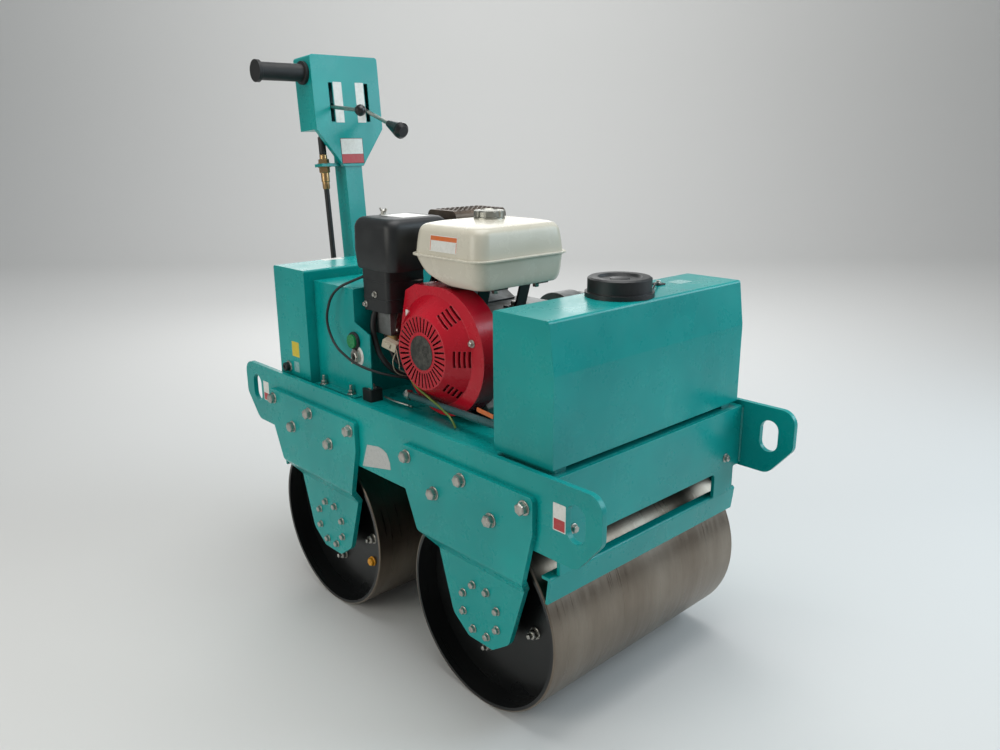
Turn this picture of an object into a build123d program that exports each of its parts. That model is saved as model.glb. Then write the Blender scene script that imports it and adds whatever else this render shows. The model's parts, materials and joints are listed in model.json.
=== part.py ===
from build123d import *
import os
from math import atan2, cos, radians, sin, sqrt, tan

# Walk-behind double-drum vibratory roller. +X is forward (water tank end), +Y is the
# machine's left, +Z is up, the ground is Z = 0. Lengths are in millimetres. Stations
# along X are measured from the middle of the wheelbase, and the whole machine is set
# over the middle of its overall length when the pieces are written.

# Drums
drum_diameter = 425.0
drum_width = 600.0
wheelbase = 563.3
drum_wall = 10.0
bulkhead_depth = 50.0
bulkhead_thickness = 12.0
rim_chamfer = 2.0
exciter_diameter = 130.0

# Frame
frame_length = 1248.0
frame_set_back = 8.0
side_gap = 8.0
plate_thickness = 12.0
side_plate_top = 576.0
side_plate_depth = 152.0
side_plate_corner = 32.0
side_plate_nose = 86.0
side_plate_chin = 55.0
lifting_eye_inset = 58.0
lifting_eye_drop = 66.0
lifting_eye_length = 72.0
lifting_eye_width = 43.0
deck_drop = 10.0
deck_thickness = 6.0
cross_plate_inset = 134.0
cross_plate_thickness = 8.0
cross_plate_skirt = 138.0
cross_leg_width = 72.0
cross_leg_inset = 24.0
scraper_beam_drop = 195.0
scraper_beam_height = 55.0
scraper_beam_flange = 22.0
scraper_sheet = 6.0

# Drum brackets: heights are taken from the drum's axle, but for the top
bracket_drop = 45.0
bracket_half_width = 195.0
bracket_set_back = 11.0
bracket_shoulder = 69.0
bracket_bend_half_width = 157.0
bracket_bend_top = 137.5
bracket_bend_bottom = 95.5
bracket_foot_half_width = 128.0
bracket_tip_half_width = 85.0
bracket_tip = 40.0
bracket_toe_half_width = 36.0
bracket_toe = 75.0
bracket_inset = 3.0
hub_flange_diameter = 146.0
hub_flange_thickness = 10.0
hub_boss_diameter = 92.0
axle_diameter = 50.0
axle_engagement = 6.0

# Tanks and cabinet: heights are taken from the deck
tank_wall = 3.0
tank_side_gap = 12.0
water_tank_inset = 162.0
water_tank_depth = 153.0
water_tank_height = 267.0
water_tank_lift = 12.0
water_tank_fold = 95.0
water_tank_slope = 13.0
tank_rail_width = 30.0
tank_corner = 6.0
water_cap_diameter = 136.0
water_cap_height = 38.0
water_cap_side = 25.0
hydraulic_tank_inset = 10.0
hydraulic_tank_depth = 144.0
hydraulic_tank_height = 277.0
cabinet_depth = 168.0
cabinet_height = 252.0
cabinet_width = 200.0
cabinet_inset = 26.0
cabinet_step = 58.0
cabinet_neck = 175.0
cabinet_shoulder = 154.0
cabinet_panel = 3.0
cabinet_foot = 18.0
start_button_diameter = 32.0
start_button_height = 132.0
key_switch_diameter = 32.0
key_switch_height = 98.0

# Engine: heights are taken from the crank, sides from the middle of the machine
crank_station = 68.0
crank_height = 133.0
rail_height = 12.0
recoil_inset = 34.0
engine_length = 406.0
block_width = 172.0
block_foot = 210.0
block_rise = 70.0
shaft_diameter = 60.0
pump_diameter = 150.0
pump_neck = 60.0
pump_length = 80.0
pump_width = 100.0
pump_height = 110.0
cylinder_tilt = 28.0
cylinder_length = 132.0
fin_count = 8
fin_pitch = 12.0
fin_thickness = 4.0
recoil_diameter = 158.0
badge_diameter = 76.0
cooling_slot_count = 36
cooling_slot_width = 4.0
louvre_count = 4
louvre_width = 4.0
shroud_diameter = 276.0
shroud_left_diameter = 250.0
fuel_tank_width = 231.0
fuel_tank_length = 268.0
fuel_tank_lift = 199.0
seam_flange = 7.0
seam_thickness = 4.0
tank_strap_width = 30.0
tank_strap_thickness = 4.0
fuel_cap_diameter = 66.0
fuel_cap_height = 22.0
air_cleaner_width = 154.0
air_cleaner_height = 112.0
muffler_width = 103.0
muffler_height = 110.0
muffler_length = 156.0
water_pipe_diameter = 16.0
spray_bar_diameter = 21.0
spray_bar_drop = 66.0
engine_cable_diameter = 6.0

# Handle: heights are taken along the column from its pivot
handle_lean = 4.5
handle_pivot_overhang = 47.7
handle_pivot_rise = 34.0
column_side = 52.0
column_wall = 4.0
handle_pin_diameter = 25.0
lug_thickness = 10.0
lug_radius = 34.0
head_width = 206.0
head_depth = 82.0
head_wall = 3.0
head_fold = 14.0
head_neck = 471.0
head_shoulder = 567.0
head_top = 752.0
grip_diameter = 44.0
grip_length = 136.0
lever_diameter = 9.0
lever_slot_width = 12.0
lever_slot_length = 98.0
lever_shaft_diameter = 14.0
ball_knob_diameter = 29.0
handle_cable_diameter = 14.0

# Clearances
running_clearance = 0.05
moving_clearance = 6.0
seat_clearance = 0.3
drum_clearance = 5.5

# Worked out from the above
drum_radius = drum_diameter / 2
axle_height = drum_radius
axle_stations = {"front": wheelbase / 2, "rear": -wheelbase / 2}
sides = {"right": -1, "left": 1}
frame_half = frame_length / 2
plate_front = frame_half - frame_set_back
plate_rear = -frame_half - frame_set_back
plate_inner = drum_width / 2 + side_gap
plate_outer = plate_inner + plate_thickness
side_plate_bottom = side_plate_top - side_plate_depth
deck_top = side_plate_top - deck_drop
cross_plate_reach = frame_half - cross_plate_inset
bulkhead_outer = drum_width / 2 - bulkhead_depth
bulkhead_inner = bulkhead_outer - bulkhead_thickness
tank_half_width = plate_inner - tank_side_gap
recoil_face = tank_half_width - recoil_inset
crank_centre = deck_top + rail_height + crank_height
half_column = column_side / 2
head_front = half_column + head_wall
head_back = head_front - head_depth
handle_pivot_station = -cross_plate_reach - handle_pivot_overhang
handle_pivot_height = deck_top + handle_pivot_rise
lean = radians(handle_lean)
head_rear_station = handle_pivot_station - head_top * sin(lean) + head_back * cos(lean)
frame_offset = -(plate_front + min(plate_rear, head_rear_station)) / 2


def block(x, y, z):
    """Box between two stations on each axis."""
    size = [b - a for a, b in (x, y, z)]
    middle = [(a + b) / 2 for a, b in (x, y, z)]
    return Pos(*middle) * Box(*size)


def outline(rows):
    """Closed outline from rows of (across, up, corner radius)."""
    points = [(across, up) for across, up, corner in rows]
    return make_face(FilletPolyline(*points, radius=[row[2] for row in rows], close=True))


def across_y(face, y):
    """An outline in X and Z, as thick as the stretch of Y."""
    return extrude(Plane.XZ.offset(-y[0]) * face, amount=-(y[1] - y[0]))


def along_x(face, x):
    """An outline in Y and Z, as long as the stretch of X."""
    return extrude(Plane.YZ.offset(x[0]) * face, amount=x[1] - x[0])


def rod(start, end, diameter):
    """Round bar from one point to another."""
    path = Vector(*end) - Vector(*start)
    frame = Plane(origin=start, z_dir=path)
    return frame * Cylinder(diameter / 2, path.length, align=(Align.CENTER, Align.CENTER, Align.MIN))


def disc_y(x, z, y, diameter):
    """Round disc about an axis along Y."""
    return rod((x, y[0], z), (x, y[1], z), diameter)


def turned(profile, x, z):
    """Solid turned about an axis along Y from rows of (radius, y)."""
    face = make_face(Polyline(*[(radius, along) for radius, along in profile], close=True))
    return Pos(x, 0, z) * revolve(face, Axis.Y)


def hollow(shape, wall):
    """Closed shell with walls of even thickness inside the given solid."""
    return shape - offset(shape, amount=-wall, kind=Kind.INTERSECTION)


def fore_and_aft(shape):
    """The same piece at the other end of the machine."""
    return mirror(shape, Plane.YZ)


def cable(name, points, diameter):
    """Round cable along its runs, each turn as wide as its two runs allow."""
    stops = [Vector(*point) for point in points]
    radii = []
    for before, at, after in zip(stops, stops[1:], stops[2:]):
        turn = radians((at - before).get_angle(after - at))
        radii.append(0.45 * min((at - before).length, (after - at).length) / tan(turn / 2))
    path = FilletPolyline(*points, radius=radii)
    print(name, "length", round(path.length), "arc radii", [round(radius) for radius in radii])
    return sweep(Plane(origin=stops[0], z_dir=stops[1] - stops[0]) * Circle(diameter / 2), path=path)


# Drums: steel shells with a dished end at each side, carried on stub axles
def drum(station):
    inner = drum_radius - drum_wall
    bore = axle_diameter / 2 + running_clearance
    end = drum_width / 2
    half = [
        (drum_radius, end - rim_chamfer),
        (drum_radius - rim_chamfer, end),
        (inner, end),
        (inner, bulkhead_outer),
        (bore, bulkhead_outer),
        (bore, bulkhead_inner),
        (inner, bulkhead_inner),
    ]
    profile = half + [(radius, -along) for radius, along in reversed(half)]
    return turned(profile, station, axle_height)


# Exciters: closed eccentric-weight housings between the drum's two bulkheads
def exciter(station):
    pocket = axle_diameter / 2 + moving_clearance
    reach = bulkhead_inner - axle_engagement - moving_clearance
    half = [
        (exciter_diameter / 2, bulkhead_inner),
        (pocket, bulkhead_inner),
        (pocket, reach),
        (0, reach),
    ]
    profile = half + [(radius, -along) for radius, along in reversed(half)]
    return turned(profile, station, axle_height)


# Side plates: long plates with a lifting eye at each end
def side_plate(side):
    rows = [
        (plate_rear, side_plate_top, side_plate_corner),
        (plate_front, side_plate_top, side_plate_corner),
        (plate_front, side_plate_top - side_plate_nose, 25),
        (plate_front - side_plate_chin, side_plate_bottom, 30),
        (plate_rear + side_plate_chin, side_plate_bottom, 30),
        (plate_rear, side_plate_top - side_plate_nose, 25),
    ]
    y = sorted((side * plate_inner, side * plate_outer))
    plate = across_y(outline(rows), y)
    eye = SlotOverall(lifting_eye_length, lifting_eye_width, rotation=90)
    for station in (plate_front - lifting_eye_inset, plate_rear + lifting_eye_inset):
        plate -= across_y(Pos(station, side_plate_top - lifting_eye_drop) * eye, (y[0] - 1, y[1] + 1))
    return plate


# Deck and cross plates: the box that ties the side plates together
deck_reach = cross_plate_reach - cross_plate_thickness
deck = block((-deck_reach, deck_reach), (-plate_inner, plate_inner), (deck_top - deck_thickness, deck_top))

skirt = deck_top - cross_plate_skirt
leg_outer = plate_inner - cross_leg_inset
leg_inner = leg_outer - cross_leg_width
scraper_beam_top = deck_top - scraper_beam_drop
skirt_rows = [
    (-plate_inner, deck_top, 0),
    (plate_inner, deck_top, 0),
    (plate_inner, skirt, 4),
    (leg_outer, skirt, 4),
    (leg_outer, scraper_beam_top, 0),
    (leg_inner, scraper_beam_top, 0),
    (leg_inner, skirt, 10),
    (-leg_inner, skirt, 10),
    (-leg_inner, scraper_beam_top, 0),
    (-leg_outer, scraper_beam_top, 0),
    (-leg_outer, skirt, 4),
    (-plate_inner, skirt, 4),
]
front_cross_plate = along_x(outline(skirt_rows), (deck_reach, cross_plate_reach))

# Scraper beams: folded angles whose lower lip follows the drum
scraper_bottom = scraper_beam_top - scraper_beam_height
lip_drop = scraper_bottom - axle_height
lip_inner = axle_stations["front"] + sqrt((drum_radius + drum_clearance) ** 2 - lip_drop**2)
scraper_front = cross_plate_reach - cross_plate_thickness / 2
scraper_profile = [
    (scraper_front - scraper_beam_flange, scraper_beam_top, 0),
    (scraper_front, scraper_beam_top, 5),
    (lip_inner + scraper_sheet, scraper_bottom, 0),
    (lip_inner, scraper_bottom, 0),
    (scraper_front - scraper_sheet, scraper_beam_top - scraper_sheet, 0),
    (scraper_front - scraper_beam_flange, scraper_beam_top - scraper_sheet, 0),
]
beam_half = plate_inner - moving_clearance / 2
front_scraper_beam = across_y(outline(scraper_profile), (-beam_half, beam_half))

# Drum brackets: plates bolted outside the frame, bent inward to reach the drum's hub
bracket_outer = plate_outer + plate_thickness
bracket_top = side_plate_top - bracket_drop
bend_top = axle_height + bracket_bend_top
bend_bottom = axle_height + bracket_bend_bottom
toe = axle_height - bracket_toe
foot_outer = drum_width / 2 - bracket_inset
foot_inner = foot_outer - plate_thickness
bend_angle = atan2(bracket_outer - foot_outer, bend_top - bend_bottom)
bend_shift = plate_thickness * tan(bend_angle / 2)


def drum_bracket(station, side):
    section = [
        (bracket_outer, bracket_top, 0),
        (bracket_outer, bend_top, 14),
        (foot_outer, bend_bottom, 6),
        (foot_outer, toe, 0),
        (foot_inner, toe, 0),
        (foot_inner, bend_bottom + bend_shift, 14),
        (plate_outer, bend_top + bend_shift, 6),
        (plate_outer, bracket_top, 0),
    ]
    # Rows of (half width, height, corner radius, how far the pair sits behind the axle)
    rows = [
        (bracket_half_width, bracket_top, 10, bracket_set_back),
        (bracket_half_width, bracket_top - bracket_shoulder, 30, bracket_set_back),
        (bracket_bend_half_width, bend_top, 12, 0),
        (bracket_foot_half_width, bend_bottom, 12, 0),
        (bracket_tip_half_width, axle_height - bracket_tip, 30, 0),
        (bracket_toe_half_width, toe, 15, 0),
    ]
    front = [(half - back, up, corner) for half, up, corner, back in rows]
    rear = [(-half - back, up, corner) for half, up, corner, back in reversed(rows)]
    reach = bracket_half_width + bracket_set_back
    folded = along_x(outline(section), (-reach, reach))
    cut = across_y(outline(front + rear), (0, 2 * bracket_outer))
    shape = folded & cut
    if side < 0:
        shape = mirror(shape, Plane.XZ)
    return Pos(station, 0, 0) * shape


# Hub mounts: flange under the bracket's foot, boss and stub axle into the drum
def hub_mount(station, side):
    flange_end = foot_inner - hub_flange_thickness
    boss_end = bulkhead_outer + moving_clearance
    profile = [
        (0, foot_inner),
        (hub_flange_diameter / 2, foot_inner),
        (hub_flange_diameter / 2, flange_end),
        (hub_boss_diameter / 2, flange_end),
        (hub_boss_diameter / 2, boss_end),
        (axle_diameter / 2, boss_end),
        (axle_diameter / 2, bulkhead_inner - axle_engagement),
        (0, bulkhead_inner - axle_engagement),
    ]
    shape = turned(profile, station, axle_height)
    return mirror(shape, Plane.XZ) if side < 0 else shape


# Water tank: folded steel tank on two rails, with its front sloping back at the top
water_tank_rear = cross_plate_reach - water_tank_inset
water_tank_front = water_tank_rear + water_tank_depth
water_tank_base = deck_top + water_tank_lift
water_tank_top = water_tank_base + water_tank_height
water_tank_profile = [
    (water_tank_rear, water_tank_base, 0),
    (water_tank_front, water_tank_base, 0),
    (water_tank_front, water_tank_top - water_tank_fold, 12),
    (water_tank_front - water_tank_slope, water_tank_top, tank_corner),
    (water_tank_rear, water_tank_top, tank_corner),
]
water_tank = hollow(across_y(outline(water_tank_profile), (-tank_half_width, tank_half_width)), tank_wall)
for side in sides.values():
    middle = side * (tank_half_width - tank_rail_width)
    rail_y = (middle - tank_rail_width / 2, middle + tank_rail_width / 2)
    water_tank += block((water_tank_rear + 10, water_tank_front - 10), rail_y, (deck_top, water_tank_base))

# Water cap: wide screw cap with a plain skirt ring and a sunk middle
cap_radius = water_cap_diameter / 2
cap_rows = [
    (0, 0),
    (cap_radius, 0),
    (cap_radius, 9),
    (cap_radius - 5, 9),
    (cap_radius - 5, water_cap_height - 3),
    (cap_radius - 9, water_cap_height),
    (cap_radius - 25, water_cap_height),
    (cap_radius - 29, water_cap_height - 5),
    (0, water_cap_height - 5),
]
cap_face = Plane.XZ * make_face(Polyline(*cap_rows, close=True))
cap_station = water_tank_rear + (water_tank_depth - water_tank_slope) / 2
water_cap = Pos(cap_station, -water_cap_side, water_tank_top) * revolve(cap_face, Axis.Z)

# Hydraulic tank: plain folded tank standing on the deck behind the engine
hydraulic_tank_rear = -cross_plate_reach + hydraulic_tank_inset
hydraulic_tank_front = hydraulic_tank_rear + hydraulic_tank_depth
hydraulic_tank_top = deck_top + hydraulic_tank_height
hydraulic_profile = [
    (hydraulic_tank_rear, deck_top, 0),
    (hydraulic_tank_front, deck_top, 0),
    (hydraulic_tank_front, hydraulic_tank_top, tank_corner),
    (hydraulic_tank_rear, hydraulic_tank_top, tank_corner),
]
hydraulic_tank = hollow(across_y(outline(hydraulic_profile), (-tank_half_width, tank_half_width)), tank_wall)

# Control cabinet: sheet box against the hydraulic tank, closed at the near side by a
# wider panel that steps out towards the engine and is turned over at its foot
cabinet_rear = hydraulic_tank_front
cabinet_front = cabinet_rear + cabinet_depth
cabinet_near = -(tank_half_width - cabinet_inset)
panel_back = cabinet_near + cabinet_panel
panel_rows = [
    (cabinet_rear, deck_top, 0),
    (cabinet_front + cabinet_step, deck_top, 0),
    (cabinet_front + cabinet_step, deck_top + cabinet_shoulder, 3),
    (cabinet_front, deck_top + cabinet_neck, 3),
    (cabinet_front, deck_top + cabinet_height, 3),
    (cabinet_rear, deck_top + cabinet_height, 0),
]
control_cabinet = hollow(block((cabinet_rear, cabinet_front), (panel_back, cabinet_near + cabinet_width),
                               (deck_top, deck_top + cabinet_height)), cabinet_panel)
control_cabinet += across_y(outline(panel_rows), (cabinet_near, panel_back))
control_cabinet += block((cabinet_rear + 12, cabinet_front + 12), (cabinet_near - cabinet_foot, cabinet_near),
                         (deck_top, deck_top + cabinet_panel))

button_station = cabinet_front - 2
button_height = deck_top + start_button_height
start_button = disc_y(button_station, button_height, (cabinet_near - 12, cabinet_near), start_button_diameter)
key_station = cabinet_front + 7
key_height = deck_top + key_switch_height
key_switch = disc_y(key_station, key_height, (cabinet_near - 9, cabinet_near), key_switch_diameter)
key_switch += block((key_station - 2, key_station + 2), (cabinet_near - 18, cabinet_near - 9),
                    (key_height - 16, key_height + 8))

# Engine: block on rails, slanted finned cylinder, fan housing with a slotted recoil cover
rail_top = deck_top + rail_height
rail_length = (-165, 130)
engine_rails = Compound(children=[
    block((crank_station + across - 20, crank_station + across + 20), rail_length, (deck_top, rail_top))
    for across in (-82, 82)
])
block_near = -recoil_face + 92
block_back = engine_length - recoil_face - 60
shaft_end = engine_length - recoil_face
block_top = crank_centre + block_rise
block_rows = [
    (block_foot / 2, rail_top, 0),
    (block_foot / 2, rail_top + 14, 4),
    (block_width / 2, rail_top + 30, 8),
    (block_width / 2, block_top, 30),
]
block_left = [(-across, up, corner) for across, up, corner in reversed(block_rows)]
engine_block = Pos(crank_station, 0, 0) * across_y(outline(block_rows + block_left), (block_near, block_back))
engine_block += disc_y(crank_station, crank_centre, (block_back, shaft_end), shaft_diameter)

cylinder_frame = Pos(crank_station - 60, 0, crank_centre + 30) * Rot(0, -90 + cylinder_tilt, 0)
engine_cylinder = cylinder_frame * block((-50, 50), (-95, 45), (0, cylinder_length))
for index in range(fin_count):
    low = cylinder_length - 2 * fin_thickness - index * fin_pitch
    engine_cylinder += cylinder_frame * block((-64, 64), (-110, 60), (low, low + fin_thickness))
engine_cylinder -= engine_block

housing_back = block_near
housing_face = -recoil_face + 38
shroud_corner = Polyline((-99, 29), (-99, 116), (-66, 133), (42, 134), close=True)
hull_edges = [
    *Circle(shroud_left_diameter / 2).edges(),
    *(Pos(16, -2) * Circle(shroud_diameter / 2)).edges(),
    *shroud_corner.edges(),
]
fan_housing = Pos(crank_station, 0, crank_centre) * across_y(make_hull(hull_edges), (housing_face, housing_back))
recoil_radius = recoil_diameter / 2
shoulder_radius = recoil_radius + 8
rim_radius = 118.0
recoil_rows = [
    (0, -recoil_face),
    (recoil_radius, -recoil_face),
    (shoulder_radius, -recoil_face + 8),
    (rim_radius, housing_face),
    (0, housing_face),
]
fan_housing += turned(recoil_rows, crank_station, crank_centre)
slot_depth = 10.0
slot_inner = badge_diameter / 2 + 6
slot_outer = recoil_radius - 3
for index in range(cooling_slot_count):
    turn = index * 360 / cooling_slot_count
    slot = block((slot_inner, slot_outer), (-recoil_face - 1, -recoil_face + slot_depth),
                 (-cooling_slot_width / 2, cooling_slot_width / 2))
    fan_housing -= Pos(crank_station, 0, crank_centre) * Rot(0, turn, 0) * slot

# Louvres in the cover's sloping face: rows of (middle of the group, length of a slot)
louvre_groups = [(0, 34), (-52, 40), (46, 26)]
louvre_depth = 7.0
face_drop = housing_face + recoil_face - 8
for turn, length in louvre_groups:
    for index in range(louvre_count):
        out = shoulder_radius + 4 + index * (rim_radius - shoulder_radius - 8) / (louvre_count - 1)
        sunk = housing_face - (rim_radius - out) * face_drop / (rim_radius - shoulder_radius) + louvre_depth
        slot = block((out - louvre_width / 2, out + louvre_width / 2), (-recoil_face, sunk), (-length / 2, length / 2))
        fan_housing -= Pos(crank_station, 0, crank_centre) * Rot(0, turn, 0) * slot

# Fuel tank: two pressed halves with a seam flange; the underside slopes up to one side
seam_height = crank_centre + fuel_tank_lift
fuel_tank_left = crank_station - 76
fuel_tank_near = -recoil_face + 26
upper_rows = [(0, 0, 30), (46, 6, 30), (58, 13, 28), (66, 27, 26), (71, 58, 20)]
lower_rows = [(0, 0, 0, 0, 30), (-17, 9, 1, 2, 30), (-36, 28, 2, 4, 30), (-49, 60, 5, 9, 28), (-60, 104, 14, 20, 24)]


def tank_section(rise, left_inset, right_inset, side_inset, corner):
    left = fuel_tank_left + seam_flange + left_inset
    right = fuel_tank_left + fuel_tank_width - seam_flange - right_inset
    near = fuel_tank_near + seam_flange + side_inset
    far = fuel_tank_near + fuel_tank_length - seam_flange - side_inset
    middle = Pos((left + right) / 2, (near + far) / 2, seam_height + rise)
    return middle * RectangleRounded(right - left, far - near, corner)


upper_half = loft([tank_section(rise, inset, inset, inset, corner) for rise, inset, corner in upper_rows], ruled=True)
lower_half = loft([tank_section(*row) for row in reversed(lower_rows)], ruled=True)
seam_section = tank_section(-seam_thickness / 2, -seam_flange, -seam_flange, -seam_flange, 36)
fuel_tank = upper_half + lower_half + extrude(seam_section, amount=seam_thickness)
fuel_tank_top = seam_height + upper_rows[-1][0]
fuel_tank_floor = seam_height + lower_rows[-1][0]

cap_place = Pos(fuel_tank_left + fuel_tank_width / 2, fuel_tank_near + fuel_tank_length / 2, fuel_tank_top)
fuel_cap = cap_place * Cylinder(fuel_cap_diameter / 2, fuel_cap_height, align=(Align.CENTER, Align.CENTER, Align.MIN))

# Tank brackets: two folded straps from the top of the block to the floor of the tank
strap = tank_strap_thickness
strap_foot = crank_station + 20
strap_riser = crank_station + 58
strap_end = crank_station + 128
strap_rows = [
    (strap_foot, block_top, 0),
    (strap_riser, block_top, 0),
    (strap_riser + 20, fuel_tank_floor - strap, 0),
    (strap_end, fuel_tank_floor - strap, 0),
    (strap_end, fuel_tank_floor, 0),
    (strap_riser + 16, fuel_tank_floor, 0),
    (strap_riser - 4, block_top + strap, 0),
    (strap_foot, block_top + strap, 0),
]
tank_brackets = Compound(children=[
    across_y(outline(strap_rows), (middle - tank_strap_width / 2, middle + tank_strap_width / 2))
    for middle in (block_near + 22, block_near + 140)
])

# Air cleaner: black case with rounded upright corners over a narrower elbow
cleaner_near = -recoil_face
cleaner_back = cleaner_near + 170
cleaner_left = crank_station - 248
cleaner_right = cleaner_left + air_cleaner_width
cleaner_floor = crank_centre + 155
cleaner_top = cleaner_floor + air_cleaner_height
cleaner_chamfer = 9.0
elbow_floor = crank_centre + 62
elbow_x = (cleaner_left + 26, cleaner_right - 30)
elbow_y = (cleaner_near + 8, cleaner_near + 112)


def case_section(z, inset):
    width = cleaner_right - cleaner_left - 2 * inset
    depth = cleaner_back - cleaner_near - 2 * inset
    middle = Pos((cleaner_left + cleaner_right) / 2, (cleaner_near + cleaner_back) / 2, z)
    return middle * RectangleRounded(width, depth, 26 - inset)


air_cleaner = loft([
    case_section(cleaner_floor, 5),
    case_section(cleaner_floor + 40, 0),
    case_section(cleaner_top - cleaner_chamfer, 2),
    case_section(cleaner_top, 2 + cleaner_chamfer),
], ruled=True)
air_cleaner += block(elbow_x, elbow_y, (elbow_floor, cleaner_floor))

# Carburettor: body under the elbow, joined to the cylinder by its inlet
carburettor_floor = crank_centre + 8
inlet_station = crank_station - 174
inlet_height = crank_centre + 35
carburettor = block((inlet_station - 29, inlet_station + 29), (-235, -170), (carburettor_floor, elbow_floor))
carburettor += disc_y(inlet_station, inlet_height, (-170, -112), 40)

# Muffler: boxed silencer on a stub above the cylinder head
muffler_left = crank_station - 232
muffler_top = crank_centre + 271
muffler_floor = muffler_top - muffler_height
muffler_y = (-52, -52 + muffler_length)
muffler_face = RectangleRounded(muffler_width, muffler_height, 14)
muffler_middle = Pos(muffler_left + muffler_width / 2, (muffler_floor + muffler_top) / 2)
muffler = across_y(muffler_middle * muffler_face, muffler_y)
stub = block((muffler_left + 55, muffler_left + 90), (-20, 25), (crank_centre + 140, muffler_floor + 2))
muffler += stub - engine_cylinder

# Water pipe: hose that lies along the near side, from the water tank towards the cabinet
water_pipe_height = deck_top + 36
water_pipe_side = -(tank_half_width - 46)
water_pipe_end = crank_station - 78
water_pipe = rod((water_pipe_end, water_pipe_side, water_pipe_height),
                 (water_tank_rear, water_pipe_side, water_pipe_height), water_pipe_diameter)

# Throttle cable: from the elbow of the air cleaner round in a loop to the block
engine_cable = cable("engine_cable", [
    (elbow_x[0] + 1, cleaner_near + 20, crank_centre + 137),
    (crank_station - 290, -290, crank_centre + 101),
    (crank_station - 318, -296, crank_centre + 27),
    (crank_station - 284, -296, crank_centre - 29),
    (crank_station - 198, -294, crank_centre - 61),
    (crank_station - 128, -240, crank_centre - 84),
    (crank_station - block_width / 2 + 1, -150, crank_centre - 95),
], engine_cable_diameter)
engine_cable -= engine_block + air_cleaner

# Hydraulic pump on the shaft end
neck_end = shaft_end + pump_neck
pump_housing = disc_y(crank_station, crank_centre, (shaft_end, neck_end), pump_diameter)
pump_housing += Pos(crank_station, neck_end + pump_length / 2, crank_centre) * Box(pump_width, pump_length, pump_height)

# Spray bars: pipes under the deck over the drums
spray_bar_height = deck_top - spray_bar_drop
spray_bars = Compound(children=[
    rod((station, -plate_inner, spray_bar_height), (station, plate_inner, spray_bar_height), spray_bar_diameter)
    for station in axle_stations.values()
])

# Handle bracket: back plate on the rear cross plate with two lugs for the cross pin
lug_gap = half_column + moving_clearance
lug_outer = lug_gap + lug_thickness
lug_rows = [
    (-cross_plate_reach, handle_pivot_height + lug_radius + 4, 0),
    (handle_pivot_station - lug_radius, handle_pivot_height + lug_radius + 4, lug_radius - 1),
    (handle_pivot_station - lug_radius, handle_pivot_height - lug_radius - 6, lug_radius - 1),
    (-cross_plate_reach, handle_pivot_height - lug_radius - 56, 0),
]
lug_face = outline(lug_rows)
pin_bore = handle_pin_diameter + 2 * running_clearance
handle_bracket = block((-cross_plate_reach - 8, -cross_plate_reach), (-lug_outer - 14, lug_outer + 14),
                       (handle_pivot_height - lug_radius - 62, deck_top + 4))
for y in ((-lug_outer, -lug_gap), (lug_gap, lug_outer)):
    handle_bracket += across_y(lug_face, y)
handle_bracket -= disc_y(handle_pivot_station, handle_pivot_height, (-lug_outer - 1, lug_outer + 1), pin_bore)
pin_end = lug_outer + 8
handle_pin = disc_y(handle_pivot_station, handle_pivot_height, (-pin_end, pin_end), handle_pin_diameter)

# Control column: square tube with a closed round foot on the cross pin
handle_frame = Location((handle_pivot_station, 0, handle_pivot_height), (0, -handle_lean, 0))
column = block((-half_column, half_column), (-half_column, half_column), (0, head_shoulder))
column += disc_y(0, 0, (-half_column, half_column), column_side)
bore = half_column - column_wall
column -= block((-bore, bore), (-bore, bore), (half_column + 10, head_shoulder + 1))
column -= disc_y(0, 0, (-half_column - 1, half_column + 1), pin_bore)

# Control head: folded box on the column, its front plate tapering down to the neck
head_half = head_width / 2
neck_half = half_column + head_wall + 1.5


def head_face(rows, inset):
    return outline([(across - inset if across > 0 else across + inset, up, corner) for across, up, corner in rows])


box_rows = [
    (-head_half, head_top, 8),
    (head_half, head_top, 8),
    (head_half, head_shoulder, 0),
    (-head_half, head_shoulder, 0),
]
control_head = hollow(along_x(outline(box_rows), (head_back, head_front)), head_wall)
taper_rows = [
    (-head_half, head_shoulder, 0),
    (head_half, head_shoulder, 0),
    (neck_half, head_neck, 0),
    (-neck_half, head_neck, 0),
]
taper = along_x(outline(taper_rows), (head_front - head_fold, head_front))
taper -= along_x(head_face(taper_rows, head_wall + 1), (head_front - head_fold - 1, head_front - head_wall))
control_head += taper
slot_sides = {"throttle": -50.0, "drive": 60.0}
slot_low = head_shoulder + 19
slot_half = lever_slot_width / 2
for slot_side in slot_sides.values():
    control_head -= block((head_front - head_wall - 1, head_front + 1), (slot_side - slot_half, slot_side + slot_half),
                          (slot_low, slot_low + lever_slot_length))
shaft_x = -12.0
shaft_z = head_shoulder + 63
shaft_half = head_half - head_wall
control_head += disc_y(shaft_x, shaft_z, (-shaft_half, shaft_half), lever_shaft_diameter)

# Hand grip: ribbed rubber sleeve with a collar at each end, out to the near side
grip_rows = [
    (0, 0),
    (29, 0),
    (29, 8),
    (grip_diameter / 2, 10),
    (grip_diameter / 2, grip_length - 12),
    (27, grip_length - 9),
    (27, grip_length),
    (0, grip_length),
]
grip_face = make_face(Polyline(*[(radius, -along) for radius, along in grip_rows], close=True))
hand_grip = Pos(-8, -head_half, head_top - 42) * revolve(grip_face, Axis.Y)


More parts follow.
